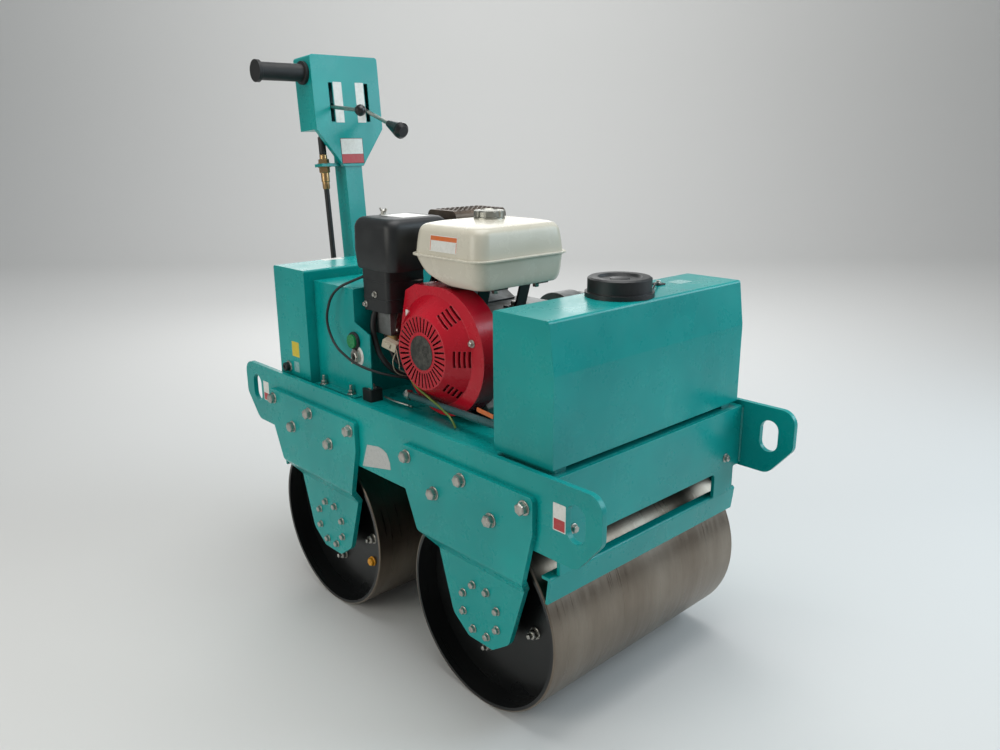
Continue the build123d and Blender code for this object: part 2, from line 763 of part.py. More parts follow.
# Levers: each has an eye on the head's inner shaft, a rod through its slot and a knob
def lever(side, tip, knob_rows):
    start = Vector(shaft_x, side, shaft_z)
    end = Vector(tip[0], side, tip[1])
    bore = lever_shaft_diameter + 2 * seat_clearance
    shape = rod(tuple(start), tuple(end), lever_diameter)
    shape += disc_y(shaft_x, shaft_z, (side - 5, side + 5), lever_shaft_diameter + 14)
    knob = Plane.XZ * make_face(Polyline(*knob_rows, close=True))
    shape += Plane(origin=end, z_dir=end - start) * revolve(knob, Axis.Z)
    return shape - disc_y(shaft_x, shaft_z, (side - 6, side + 6), bore)


ball_radius = ball_knob_diameter / 2
ball_rows = [(0, -ball_radius)]
ball_rows += [(ball_radius * cos(radians(turn)), ball_radius * sin(radians(turn))) for turn in (-60, -30, 0, 30, 60)]
ball_rows += [(0, ball_radius)]
throttle_lever = lever(slot_sides["throttle"], (head_front + 128, head_shoulder + 34), ball_rows)
knob_rows = [(0, 0), (9, 0), (21, 52), (21, 60), (14, 68), (0, 68)]
drive_lever = lever(slot_sides["drive"], (head_front + 91, head_shoulder + 6), knob_rows)

# Cable tab and the drive cable that it holds beside the column, down into its side
cable_side = -half_column - 49
tab_low = head_neck + 2
tab_thickness = 8.0
tab_end = cable_side - 14
cable_tab = block((-24, 14), (tab_end, -half_column), (tab_low, tab_low + tab_thickness))
cable_tab -= rod((0, cable_side, tab_low - 1), (0, cable_side, tab_low + tab_thickness + 1), handle_cable_diameter)
cable_entry = 130.0
cable_slant = -cable_side - bore
handle_cable = cable("handle_cable", [
    (0, cable_side, head_shoulder),
    (0, cable_side, cable_entry),
    (0, -bore, cable_entry - cable_slant),
], handle_cable_diameter)
handle_cable -= block((-half_column, half_column), (-half_column, half_column), (0, head_shoulder))

solids = {
    "front_drum": drum(axle_stations["front"]),
    "rear_drum": drum(axle_stations["rear"]),
    "front_exciter": exciter(axle_stations["front"]),
    "rear_exciter": exciter(axle_stations["rear"]),
    "deck_plate": deck,
    "front_cross_plate": front_cross_plate,
    "rear_cross_plate": fore_and_aft(front_cross_plate),
    "front_scraper_beam": front_scraper_beam,
    "rear_scraper_beam": fore_and_aft(front_scraper_beam),
    "water_tank": water_tank,
    "water_cap": water_cap,
    "hydraulic_tank": hydraulic_tank,
    "control_cabinet": control_cabinet,
    "start_button": start_button,
    "key_switch": key_switch,
    "engine_rails": engine_rails,
    "engine_block": engine_block,
    "engine_cylinder": engine_cylinder,
    "fan_housing": fan_housing,
    "fuel_tank": fuel_tank,
    "fuel_cap": fuel_cap,
    "tank_brackets": tank_brackets,
    "air_cleaner": air_cleaner,
    "carburettor": carburettor,
    "muffler": muffler,
    "water_pipe": water_pipe,
    "engine_cable": engine_cable,
    "pump_housing": pump_housing,
    "spray_bars": spray_bars,
    "handle_bracket": handle_bracket,
    "handle_pin": handle_pin,
    "control_column": handle_frame * column,
    "control_head": handle_frame * control_head,
    "hand_grip": handle_frame * hand_grip,
    "throttle_lever": handle_frame * throttle_lever,
    "drive_lever": handle_frame * drive_lever,
    "cable_tab": handle_frame * cable_tab,
    "handle_cable": handle_frame * handle_cable,
}
for side_name, side in sides.items():
    solids[f"side_plate_{side_name}"] = side_plate(side)
    for end_name, station in axle_stations.items():
        solids[f"drum_bracket_{end_name}_{side_name}"] = drum_bracket(station, side)
        solids[f"hub_mount_{end_name}_{side_name}"] = hub_mount(station, side)

os.makedirs("parts", exist_ok=True)
for name, shape in solids.items():
    export_step(Pos(frame_offset, 0, 0) * shape, f"parts/{name}.step")
print("frame offset", round(frame_offset, 4), "pieces", len(solids))
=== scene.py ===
import json
import random
from math import cos, pi, radians, sin, sqrt

import bmesh
import bpy
from mathutils import Matrix, Vector


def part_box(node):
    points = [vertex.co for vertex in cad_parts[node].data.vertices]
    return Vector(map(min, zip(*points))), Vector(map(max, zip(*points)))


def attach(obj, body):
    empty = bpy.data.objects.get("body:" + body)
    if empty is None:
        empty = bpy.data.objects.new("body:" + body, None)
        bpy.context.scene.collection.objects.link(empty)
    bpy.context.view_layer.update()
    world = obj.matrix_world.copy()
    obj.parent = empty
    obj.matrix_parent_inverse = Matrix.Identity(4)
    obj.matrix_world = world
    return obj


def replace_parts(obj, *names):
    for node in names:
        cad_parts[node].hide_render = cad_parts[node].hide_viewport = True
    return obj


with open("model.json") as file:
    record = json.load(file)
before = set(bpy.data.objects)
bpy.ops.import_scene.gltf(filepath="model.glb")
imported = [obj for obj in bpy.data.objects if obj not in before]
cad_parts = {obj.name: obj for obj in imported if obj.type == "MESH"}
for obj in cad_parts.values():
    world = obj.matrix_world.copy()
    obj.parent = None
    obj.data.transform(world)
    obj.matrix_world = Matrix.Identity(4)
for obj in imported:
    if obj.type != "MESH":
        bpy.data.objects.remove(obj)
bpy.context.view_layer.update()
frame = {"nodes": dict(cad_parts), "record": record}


# View: a standing person's camera in front of the machine's right-hand corner, looking
# slightly down on the deck and slightly up at the control head.
def ends(node):
    """Lowest and highest corner of a node at rest."""
    return [Vector(corner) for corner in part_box(node)]


drum_corners = ends("front_drum") + ends("rear_drum")
middle_x = sum(corner.x for corner in drum_corners) / 4
view_azimuth = radians(47.2)
view_elevation = radians(15.94)
view_roll = radians(-0.45)
scene = bpy.context.scene
camera_data = bpy.data.cameras.new("view")
camera_data.sensor_width = 36.0
camera_data.lens = 29.98
camera = bpy.data.objects.new("view", camera_data)
scene.collection.objects.link(camera)
level = cos(view_elevation)
back = Vector((sin(view_azimuth) * level, -cos(view_azimuth) * level, sin(view_elevation)))
right = (-back).cross(Vector((0, 0, 1))).normalized()
up = right.cross(-back)
right_rolled = right * cos(view_roll) + up * sin(view_roll)
up_rolled = up * cos(view_roll) - right * sin(view_roll)
turn = Matrix((right_rolled, up_rolled, back)).transposed().to_4x4()
camera_place = Vector((middle_x + 1.4172, -1.2879, 1.1439))
camera.matrix_world = Matrix.Translation(camera_place) @ turn
scene.camera = camera
scene.view_settings.view_transform = "Standard"


# Studio: a pale matt floor that curves up behind, and five soft lamps, so that
# the enamel shows broad soft reflections and the drums a gentle shadow under them.
def linear(hex_colour):
    """sRGB hex colour as linear red, green, blue and alpha."""
    parts = [int(hex_colour[i:i + 2], 16) / 255 for i in (1, 3, 5)]
    parts = [c / 12.92 if c <= 0.04045 else ((c + 0.055) / 1.055) ** 2.4 for c in parts]
    return (*parts, 1.0)


def fill(tree, node, **inputs):
    """Sets or links a node's sockets: i6 is its seventh socket, and a text is a hex colour."""
    for name, value in inputs.items():
        socket = node.inputs[int(name[1:]) if name[1:].isdigit() else name.replace("_", " ")]
        if isinstance(value, bpy.types.NodeSocket):
            tree.links.new(value, socket)
        else:
            socket.default_value = linear(value) if isinstance(value, str) else value


def add(tree, kind, settings=None, out=None, **inputs):
    """Adds one shader node with its settings, values and links, and gives back its output."""
    node = tree.nodes.new(f"ShaderNode{kind}")
    for name, value in (settings or {}).items():
        setattr(node, name, value)
    fill(tree, node, **inputs)
    return node.outputs[out] if out else next(socket for socket in node.outputs if socket.enabled)


def material(name, roughness, metallic=0.0):
    """New material with its tree, its surface shader and the piece's own coordinates."""
    made = bpy.data.materials.new(name)
    made.use_nodes = True
    tree = made.node_tree
    shader = tree.nodes["Principled BSDF"]
    fill(tree, shader, Roughness=roughness, Metallic=metallic)
    return made, tree, shader, add(tree, "TexCoord", out="Object")


floor_paint, tree, shader = material("studio_floor", 0.85)[:3]
fill(tree, shader, Base_Color="#D9D9D7")
floor_mesh = bpy.data.meshes.new("floor")
reach, depth, rise, half_width, sweep_radius, sweep_steps = 9.0, 6.0, 5.0, 14.0, 2.0, 12
profile = [(-reach, 0.0), (depth, 0.0)]
for step in range(1, sweep_steps + 1):
    bend = step * pi / 2 / sweep_steps
    profile.append((depth + sweep_radius * sin(bend), sweep_radius - sweep_radius * cos(bend)))
profile.append((depth + sweep_radius, rise))
rows = [(x, y, z) for y, z in profile for x in (-half_width, half_width)]
faces = [(2 * i, 2 * i + 1, 2 * i + 3, 2 * i + 2) for i in range(len(profile) - 1)]
floor_mesh.from_pydata(rows, [], faces)
floor_mesh.materials.append(floor_paint)
floor_mesh.shade_smooth()
floor = bpy.data.objects.new("studio_floor", floor_mesh)
floor.rotation_euler.z = view_azimuth
scene.collection.objects.link(floor)


def lamp(name, place, target, size, power, colour="#FFFFFF"):
    """Soft rectangular lamp that faces its target."""
    data = bpy.data.lights.new(name, "AREA")
    data.shape = "RECTANGLE"
    data.size, data.size_y = size
    data.energy = power
    data.color = linear(colour)[:3]
    made = bpy.data.objects.new(name, data)
    made.location = place
    made.rotation_euler = (Vector(target) - Vector(place)).to_track_quat("-Z", "Y").to_euler()
    scene.collection.objects.link(made)


aim = (0.0, 0.0, 0.55)
lamp("overhead", (0.2, 0.1, 3.4), aim, (2.4, 2.0), 62)
lamp("front_window", (2.1, 2.1, 1.95), (0.0, 0.0, 0.75), (2.0, 1.7), 46, "#DDF2FF")
lamp("side_window", (-0.5, -3.2, 1.6), aim, (2.0, 1.5), 30, "#FFFDF4")
lamp("back_fill", (-2.6, 1.9, 2.2), aim, (2.2, 2.0), 24)
wall_aim = -Vector((back.x, back.y, 0)).normalized()
wash_place, wash_target = wall_aim * 2.6 + Vector((0, 0, 4.2)), wall_aim * 8.0 + Vector((0, 0, 1.6))
lamp("wall_wash", wash_place, wash_target, (5.0, 1.6), 190)
world = bpy.data.worlds.new("studio")
scene.world = world
world.use_nodes = True
fill(world.node_tree, world.node_tree.nodes["Background"], Color="#E8ECEF", Strength=0.36)


# Frame, brackets, tanks, cabinet, column and head: hot-rolled sheet and tube, welded,
# shot blasted and sprayed with gloss alkyd enamel. It leaves a fine orange peel. The cut
# edges carry a brighter line, partly paint worn thin and partly a painted highlight, and
# where plates meet the colour darkens in a painted shade.
rgba = {"data_type": "RGBA"}


def sprayed_enamel(name, deep, bright, edge, dust, gloss=0.24, nook_mix=0.3, nook_size=0.04):
    """Gloss paint over steel: cloudy tone, peel, a brighter edge line of wear and painted highlight, and the
    nook colour where plates meet, which is painted shade where it is darker than the paint.
    """
    made, tree, shader, place = material(name, gloss)
    clouds = add(tree, "TexNoise", Vector=place, Scale=4.0, Detail=3.0, Roughness=0.55)
    tone = add(tree, "MapRange", Value=clouds, i1=0.35, i2=0.68)
    paint = add(tree, "Mix", rgba, Factor=tone, i6=deep, i7=bright)
    rounded = add(tree, "Bevel", {"samples": 4}, Radius=0.0016)
    flat = add(tree, "NewGeometry", out="Normal")
    turned_by = add(tree, "VectorMath", {"operation": "DOT_PRODUCT"}, i0=rounded, i1=flat)
    specks = add(tree, "TexNoise", Vector=place, Scale=55.0, Detail=3.0)
    # Brighter edge line: partly paint worn thin, partly a painted highlight along the edges.
    edge_wear_and_highlight = add(tree, "MapRange", Value=turned_by, i1=0.99, i2=0.86, i3=0.0, i4=0.75)
    edge_wear_and_highlight = add(tree, "Math", {"operation": "MULTIPLY"}, i0=edge_wear_and_highlight, i1=specks)
    with_edge_wear_and_highlight = add(tree, "Mix", rgba, Factor=edge_wear_and_highlight, i6=paint, i7=edge)
    # Painted shade: occlusion mixes the nook colour in where plates meet; on the black enamel that colour is
    # a paler dust grey.
    nook = add(tree, "AmbientOcclusion", {"samples": 4}, out="AO", Distance=nook_size)
    nook_shade_and_dust = add(tree, "MapRange", Value=nook, i1=0.2, i2=0.75, i3=nook_mix, i4=0.0)
    colour = add(tree, "Mix", rgba, Factor=nook_shade_and_dust, i6=with_edge_wear_and_highlight, i7=dust)
    smears = add(tree, "TexNoise", Vector=place, Scale=14.0, Detail=5.0, Roughness=0.65)
    dull = add(tree, "MapRange", Value=smears, i1=0.35, i2=0.8, i3=gloss, i4=gloss + 0.16)
    # Orange peel is about 2 mm from crest to crest, drawn at 3 mm so that it shows.
    peel = add(tree, "TexNoise", Vector=place, Scale=330.0, Detail=1.0)
    bump = add(tree, "Bump", Strength=0.1, Distance=0.0003, Height=peel, Normal=rounded)
    fill(tree, shader, Base_Color=colour, Roughness=dull, Normal=bump, Specular_IOR_Level=0.32,
         Coat_Weight=0.08, Coat_Roughness=0.1)
    return made


def in_slot(slot):
    """Names of the nodes that the record puts in a material slot."""
    return [entry["node"] for entry in frame["record"]["subparts"] if entry["material_slot"] == slot]


def dress(finish, *names):
    """Gives carried-over nodes their finish."""
    for name in names:
        made = frame["nodes"][name]
        made.data.materials.clear()
        made.data.materials.append(finish)


# Its pale edge colour is partly wear and partly a painted highlight; its dark nook colour is a painted shade.
enamel_teal = sprayed_enamel("alkyd_enamel_teal", "#008E8B", "#069E99", "#62D6D2", "#14524D")
dress(enamel_teal, *in_slot("teal_enamel"))


# Weld beads: fillet welds laid by hand up the ends of both cross plates and beside the
# handle's lugs, painted over with the frame, so that their ripples still show.
def at(x, y, z):
    """A place in millimetres from the middle between the drums, on the ground."""
    return Vector((middle_x + x / 1000, y / 1000, z / 1000))


def tube(name, points, thickness, finish, body, corners="AUTO"):
    """Round bar, hose or bead along its points, riding on a body; its thickness is in millimetres."""
    line = bpy.data.curves.new(name, "CURVE")
    line.dimensions = "3D"
    spline = line.splines.new("BEZIER")
    spline.bezier_points.add(len(points) - 1)
    for knot, place in zip(spline.bezier_points, points):
        knot.co = place
        knot.handle_left_type = knot.handle_right_type = corners
    line.bevel_depth = thickness / 2000
    line.bevel_resolution = 3
    line.resolution_u = 8
    line.use_fill_caps = True
    line.materials.append(finish)
    made = bpy.data.objects.new(name, line)
    scene.collection.objects.link(made)
    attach(made, body)
    return made


weld_paint, tree, shader, place = material("enamelled_weld_bead", 0.32)
# Weld ripples are 3 mm apart; they are drawn at about 11 mm so that they show.
ripples = add(tree, "TexWave", {"bands_direction": "DIAGONAL"}, "Fac", Vector=place, Scale=55.0,
              Distortion=3.0)
rough = add(tree, "TexNoise", Vector=place, Scale=90.0, Detail=3.0)
paint = add(tree, "Mix", rgba, Factor=rough, i6="#00736E", i7="#0A928D")
bump = add(tree, "Bump", Strength=0.6, Distance=0.0008, Height=ripples)
fill(tree, shader, Base_Color=paint, Normal=bump)
weld_thickness = 7.0
weld_side = 0.307
sides = (("right", -1), ("left", 1))
deck_top = ends("deck_plate")[1].z
for end in ("front", "rear"):
    low, high = ends(f"{end}_cross_plate")
    face = high.x if end == "front" else low.x
    for side_name, side in sides:
        bead = [Vector((face, side * weld_side, z)) for z in (deck_top - 0.004, low.z + 0.062)]
        tube(f"weld_{end}_{side_name}", bead, weld_thickness, weld_paint, "root", "VECTOR")
bracket_low, bracket_high = ends("handle_bracket")
for side_name, side in sides:
    lug_x, lug_y = bracket_high.x - 0.008, side * 0.042
    bead = [Vector((lug_x, lug_y, z)) for z in (bracket_low.z + 0.03, bracket_high.z - 0.05)]
    tube(f"weld_lug_{side_name}", bead, weld_thickness, weld_paint, "root", "VECTOR")


# Bracket bolts: M14 hexagon bolts of zinc-plated steel with washers, five to a bracket,
# through the bracket and the side plate into nuts inside. Plating leaves a soft pale
# shine that greys unevenly.
def facing(place, direction):
    """Frame at the place whose Z runs along the direction."""
    return Matrix.Translation(place) @ Vector(direction).to_track_quat("Z", "Y").to_matrix().to_4x4()


def turned(form, place, rows, corners=24, finish=0, first=0.0):
    """Rings about the frame's Z from rows of (radius, height) in millimetres."""
    rings = []
    for radius, height in rows:
        turns = [first + 2 * pi * i / corners for i in range(corners if radius else 1)]
        spots = [Vector((radius * cos(a), radius * sin(a), height)) / 1000 for a in turns]
        rings.append([form.verts.new(place @ spot) for spot in spots])
    for low, high in zip(rings, rings[1:]):
        for i in range(corners):
            j = i + 1
            around = [low[i % len(low)], low[j % len(low)], high[j % len(high)], high[i % len(high)]]
            corner_loop = list(dict.fromkeys(around))
            if len(corner_loop) > 2:
                form.faces.new(corner_loop).material_index = finish


def finished(form, name, finishes, body, crease=32):
    """Turns a form into a piece that rides on a body, smooth but for its creases."""
    bmesh.ops.recalc_face_normals(form, faces=form.faces)
    mesh = bpy.data.meshes.new(name)
    form.to_mesh(mesh)
    form.free()
    for finish in finishes:
        mesh.materials.append(finish)
    mesh.shade_smooth()
    mesh.set_sharp_from_angle(angle=radians(crease))
    made = bpy.data.objects.new(name, mesh)
    scene.collection.objects.link(made)
    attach(made, body)
    return made


spin = random.Random(7)


def bolt(form, place, flats, head, washer, first=None, finish=0):
    """Hexagon head on a washer, in millimetres; its turn is drawn at random if none is given."""
    first = spin.uniform(0, pi) if first is None else first
    sheet = 2.4 if washer else 0.0
    if washer:
        edge = washer / 2
        rows = [(0, 0), (edge, 0), (edge, sheet - 0.6), (edge - 0.8, sheet), (0, sheet)]
        turned(form, place, rows, 28, finish)
    point = flats / sqrt(3)
    top = sheet + head
    rows = [(0, sheet), (point, sheet), (point, top - 0.14 * flats), (0.86 * point, top - 0.03 * flats),
            (0.72 * point, top), (0, top)]
    turned(form, place, rows, 6, finish, first)


zinc_steel, tree, shader, place = material("zinc_plated_steel", 0.34, 1.0)
mottle = add(tree, "TexNoise", Vector=place, Scale=160.0, Detail=4.0, Roughness=0.6)
plate_tone = add(tree, "Mix", rgba, Factor=mottle, i6="#8E8C84", i7="#D3D1CA")
worn = add(tree, "MapRange", Value=mottle, i1=0.3, i2=0.7, i3=0.24, i4=0.48)
bump = add(tree, "Bump", Strength=0.15, Distance=0.0002, Height=mottle)
fill(tree, shader, Base_Color=plate_tone, Roughness=worn, Normal=bump)

bracket_bolts = [(-174, 508), (0, 508), (174, 508), (-85, 453), (85, 453)]
for end in ("front", "rear"):
    for side_name, side in sides:
        low, high = ends(f"drum_bracket_{end}_{side_name}")
        inner = ends(f"side_plate_{side_name}")[1 if side < 0 else 0].y
        outer = low.y if side < 0 else high.y
        form = bmesh.new()
        for across, height in bracket_bolts:
            spot = Vector(((low.x + high.x) / 2 + across / 1000, outer, height / 1000))
            bolt(form, facing(spot, (0, side, 0)), 22, 12, 29)
            bolt(form, facing((spot.x, inner, spot.z), (0, -side, 0)), 22, 11, 27)
        finished(form, f"bracket_bolts_{end}_{side_name}", [zinc_steel], "root")

# Hub bolts: eight small hexagon screws in a ring, which hold the stub axle's flange
# under each bracket's foot.
ring_radius, flange_face = 0.055, 0.297
for end in ("front", "rear"):
    axle = sum(ends(f"{end}_drum"), Vector()) / 2
    for side_name, side in sides:
        form = bmesh.new()
        for index in range(8):
            angle = radians(22.5 + 45 * index)
            across, rise = ring_radius * cos(angle), ring_radius * sin(angle)
            spot = (axle.x + across, side * flange_face, axle.z + rise)
            bolt(form, facing(spot, (0, side, 0)), 13, 7, 18)
        finished(form, f"hub_bolts_{end}_{side_name}", [zinc_steel], "root")
dress(zinc_steel, "handle_pin", "spray_bars", "key_switch")


# Drums: rolled steel shells, turned smooth on the outside and painted black inside the
# rims. The barrel is bare and bright, with fine turning lines round it, and browned a
# little where it has stood wet.
def drum_finish(name, axle, radius):
    """Bare steel on the barrel about the axle, black enamel within its rims."""
    made, tree, shader, place = material(name, 0.3)
    from_axle = add(tree, "VectorMath", {"operation": "SUBTRACT"}, i0=place, i1=axle)
    spoke = add(tree, "VectorMath", {"operation": "MULTIPLY"}, i0=from_axle, i1=(1, 0, 1))
    length = add(tree, "VectorMath", {"operation": "LENGTH"}, i0=spoke)
    bare = add(tree, "MapRange", Value=length, i1=radius - 0.0042, i2=radius - 0.0028)
    # Turning lines stand 1 mm apart; they are drawn at 4 mm so that they show.
    lathe = add(tree, "VectorMath", {"operation": "MULTIPLY"}, i0=from_axle, i1=(6, 250, 6))
    lines = add(tree, "TexNoise", Vector=lathe, Scale=1.0, Detail=3.0)
    bands = add(tree, "VectorMath", {"operation": "MULTIPLY"}, i0=from_axle, i1=(2, 7, 2))
    stains = add(tree, "TexNoise", Vector=bands, Scale=1.0, Detail=5.0, Roughness=0.6)
    stain = add(tree, "MapRange", Value=stains, i1=0.38, i2=0.68)
    steel = add(tree, "Mix", rgba, Factor=stain, i6="#948A7E", i7="#786B5E")
    lined = add(tree, "Mix", {"data_type": "RGBA", "blend_type": "MULTIPLY"}, Factor=0.2,
                i6=steel, i7=lines)
    grime = add(tree, "TexNoise", Vector=place, Scale=9.0, Detail=4.0)
    black = add(tree, "Mix", rgba, Factor=grime, i6="#060707", i7="#111313")
    colour = add(tree, "Mix", rgba, Factor=bare, i6=black, i7=lined)
    shine = add(tree, "MapRange", Value=lines, i1=0.3, i2=0.7, i3=0.26, i4=0.42)
    bump = add(tree, "Bump", Strength=0.1, Distance=0.0003, Height=lines)
    fill(tree, shader, Base_Color=colour, Metallic=bare, Roughness=shine, Normal=bump)
    return made


yellow_plug, tree, shader, place = material("moulded_yellow_plug", 0.35)
mottle = add(tree, "TexNoise", Vector=place, Scale=220.0, Detail=2.0)
plug_tone = add(tree, "Mix", rgba, Factor=mottle, i6="#D98B16", i7="#F2B22C")
fill(tree, shader, Base_Color=plug_tone)
dish_face, bearing_radius, plug_radius = 0.25, 0.115, 0.135
for end in ("front", "rear"):
    low, high = ends(f"{end}_drum")
    axle = (low + high) / 2
    dress(drum_finish(f"turned_drum_steel_{end}", axle, (high.z - low.z) / 2), f"{end}_drum")
    form = bmesh.new()
    # Four bolts hold each dished end's bearing; one plug closes the oil hole. The front
    # drum's plug stands up behind its bracket, the rear drum's below.
    for side in (-1, 1):
        for index in range(4):
            angle = radians(-10 - 92 * index)
            across, rise = bearing_radius * cos(angle), bearing_radius * sin(angle)
            spot = axle + Vector((across, side * dish_face, rise))
            bolt(form, facing(spot, (0, side, 0)), 19, 11, 26)
            turned(form, facing(spot, (0, side, 0)), [(0, 13), (5, 13), (5, 21), (4, 22), (0, 22)], 16)
        angle = radians(-39 if end == "rear" else 100)
        spot = axle + Vector((plug_radius * cos(angle), side * dish_face, plug_radius * sin(angle)))
        bolt(form, facing(spot, (0, side, 0)), 19, 8, 25, 0.3, 1)
    finished(form, f"drum_end_bolts_{end}", [zinc_steel, yellow_plug], f"{end}_drum")

# Hub mounts, exciters, engine rails and tank straps: pressed and turned steel in satin
# black paint, paler grey where plates meet, and grey on the edges, partly chipped and
# partly a painted highlight.
satin_black = sprayed_enamel("satin_black_enamel", "#0D0E0F", "#17191A", "#50555A", "#2B2E2C", 0.36)
dress(satin_black, *in_slot("black_steel"))


# Stickers: printed vinyl film, left without words. Each is a thin film with rounded
# corners whose coloured fields are printed on it, and it yellows and scuffs a little.
def film(name, hex_colour, roughness=0.4):
    """Printed film of one ink, with its faint unevenness."""
    made, tree, shader, place = material(name, roughness)
    scuffs = add(tree, "TexNoise", Vector=place, Scale=120.0, Detail=4.0, Roughness=0.7)
    worn = add(tree, "MapRange", Value=scuffs, i1=0.4, i2=0.8, i3=0.0, i4=0.3)
    ink = add(tree, "Mix", rgba, Factor=worn, i6=hex_colour, i7="#9C978C")
    rub = add(tree, "MapRange", Value=scuffs, i1=0.3, i2=0.8, i3=roughness - 0.1, i4=roughness + 0.15)
    fill(tree, shader, Base_Color=ink, Roughness=rub)
    return made


def upright(place, across, above):
    """Frame at the place with its X and Y along two directions."""
    across, above = Vector(across).normalized(), Vector(above).normalized()
    return Matrix.Translation(place) @ Matrix((across, above, across.cross(above))).transposed().to_4x4()


def field(form, place, corner, size, thickness, finish=0, corner_radius=1.5):
    """Flat slab with rounded corners on the frame's XY plane, in millimetres."""
    outline = []
    for turn_by, (x, y) in enumerate(((1, 1), (0, 1), (0, 0), (1, 0))):
        centre = (corner[0] + corner_radius + x * (size[0] - 2 * corner_radius),
                  corner[1] + corner_radius + y * (size[1] - 2 * corner_radius))
        for step in range(4):
            angle = (turn_by + step / 3) * pi / 2
            outline.append((centre[0] + corner_radius * cos(angle), centre[1] + corner_radius * sin(angle)))
    slab(form, place, outline, thickness, finish)


def slab(form, place, outline, thickness, finish=0, bottom=0.0):
    """Flat slab of any outline on the frame's XY plane, in millimetres."""
    low = [form.verts.new(place @ (Vector((x, y, bottom)) / 1000)) for x, y in outline]
    high = [form.verts.new(place @ (Vector((x, y, bottom + thickness)) / 1000)) for x, y in outline]
    form.faces.new(high).material_index = finish
    form.faces.new(low[::-1]).material_index = finish
    for i in range(len(outline)):
        j = (i + 1) % len(outline)
        form.faces.new((low[i], low[j], high[j], high[i])).material_index = finish


white_film = film("white_vinyl_film", "#E2E2DC")
red_film = film("red_vinyl_film", "#B3242B")
yellow_film = film("yellow_vinyl_film", "#D9C11E")
orange_film = film("orange_vinyl_film", "#D96A22")
silver_film = film("silver_foil_film", "#B9BBB8", 0.3)
clear_film = film("clear_film", "#7FB5B2", 0.3)


def sticker(name, place, size, body, finishes, bands=()):
    """Film with its lower left corner at the frame; bands are (x, y, width, height, finish)."""
    form = bmesh.new()
    field(form, place, (0, 0), size, 0.3)
    for x, y, width, height, finish in bands:
        field(form, place, (x, y), (width, height), 0.45, finish, 0.6)
    return finished(form, name, finishes, body)


def near_face(x, y, z):
    """Upright frame facing the near side; x is in millimetres from the middle, y and z in metres."""
    return upright((at(x, 0, 0).x, y, z), (1, 0, 0), (0, 0, 1))


plate_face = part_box("side_plate_right")[0].y
for end, station, width, red_height in (("front", 505, 30, 21), ("rear", -541, 28, 19)):
    sticker(f"sticker_{end}_right", near_face(station, plate_face, 0.484), (width, 52), "root",
            [white_film, red_film], [(2, 2, width - 4, red_height, 1)])
form = bmesh.new()
plate_corner = near_face(-88, plate_face, 0.429)
slab(form, plate_corner, [(0, 0), (109, 22), (107, 38), (97, 56), (84, 62), (66, 64), (22, 57)], 0.6)
finished(form, "rating_plate", [silver_film], "root")

# Front cross plate: two zinc-plated hexagon screws with washers, one near each end,
# stand on its outer face.
front_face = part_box("front_cross_plate")[1].x
form = bmesh.new()
for side in (-1, 1):
    bolt(form, facing((front_face, side * 0.25, 0.456), (1, 0, 0)), 13, 7, 20)
finished(form, "cross_plate_screws", [zinc_steel], "root")


# Water tank: its screw cap is smooth moulded polypropylene, tethered by a strap
# to a small tab on the tank's top, beside a blank film label.
def moulded_plastic(name, hex_colour, light, roughness=0.45, grain=1.1):
    """Moulded plastic with a spark-eroded grain of that many millimetres."""
    made, tree, shader, place = material(name, roughness)
    cells = add(tree, "TexVoronoi", Vector=place, Scale=1000 / grain)
    clouds = add(tree, "TexNoise", Vector=place, Scale=18.0, Detail=4.0, Roughness=0.6)
    dust = add(tree, "MapRange", Value=clouds, i1=0.42, i2=0.78, i3=0.0, i4=0.55)
    colour = add(tree, "Mix", rgba, Factor=dust, i6=hex_colour, i7=light)
    shine = add(tree, "MapRange", Value=clouds, i1=0.3, i2=0.8, i3=roughness - 0.08, i4=roughness + 0.12)
    rounded = add(tree, "Bevel", {"samples": 4}, Radius=0.0015)
    bump = add(tree, "Bump", Strength=0.12, Distance=0.0002, Height=cells, Normal=rounded)
    fill(tree, shader, Base_Color=colour, Roughness=shine, Normal=bump)
    return made


black_plastic = moulded_plastic("moulded_black_polypropylene", "#141617", "#2A2D2E")
dress(black_plastic, *in_slot("black_plastic"))
cap_low, cap_high = ends("water_cap")
cap_middle = (cap_low + cap_high) / 2
form = bmesh.new()
turned(form, Matrix.Translation((cap_middle.x, cap_middle.y, cap_high.z - 0.005)),
       [(0, 0), (20, 0), (20, 1.2), (18.5, 2), (0, 2)], 40)
finished(form, "water_cap_boss", [black_plastic], "root")
tank_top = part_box("water_tank")[1].z
tab_place = at(377, 128, 0)
form = bmesh.new()
tab_corner = Matrix.Translation((tab_place.x - 0.012, tab_place.y - 0.012, tank_top))
field(form, tab_corner, (0, 0), (24, 24), 3, 0, 5)
bolt(form, facing((tab_place.x, tab_place.y, tank_top + 0.003), (0, 0, 1)), 8, 4, 14, 0.4, 1)
finished(form, "tether_tab", [black_plastic, zinc_steel], "root")
rim = Vector((cap_middle.x + 0.035, cap_middle.y + 0.057, tank_top + 0.006))
tether = [rim, Vector(((rim.x + tab_place.x) / 2, (rim.y + tab_place.y) / 2, tank_top + 0.010)),
          Vector((tab_place.x, tab_place.y, tank_top + 0.004))]
tube("cap_tether", tether, 4.0, black_plastic, "root")
film_corner = Matrix.Translation((at(372, 0, 0).x, 0.165, tank_top))
sticker("sticker_water_tank", film_corner, (34, 46), "root", [clear_film])

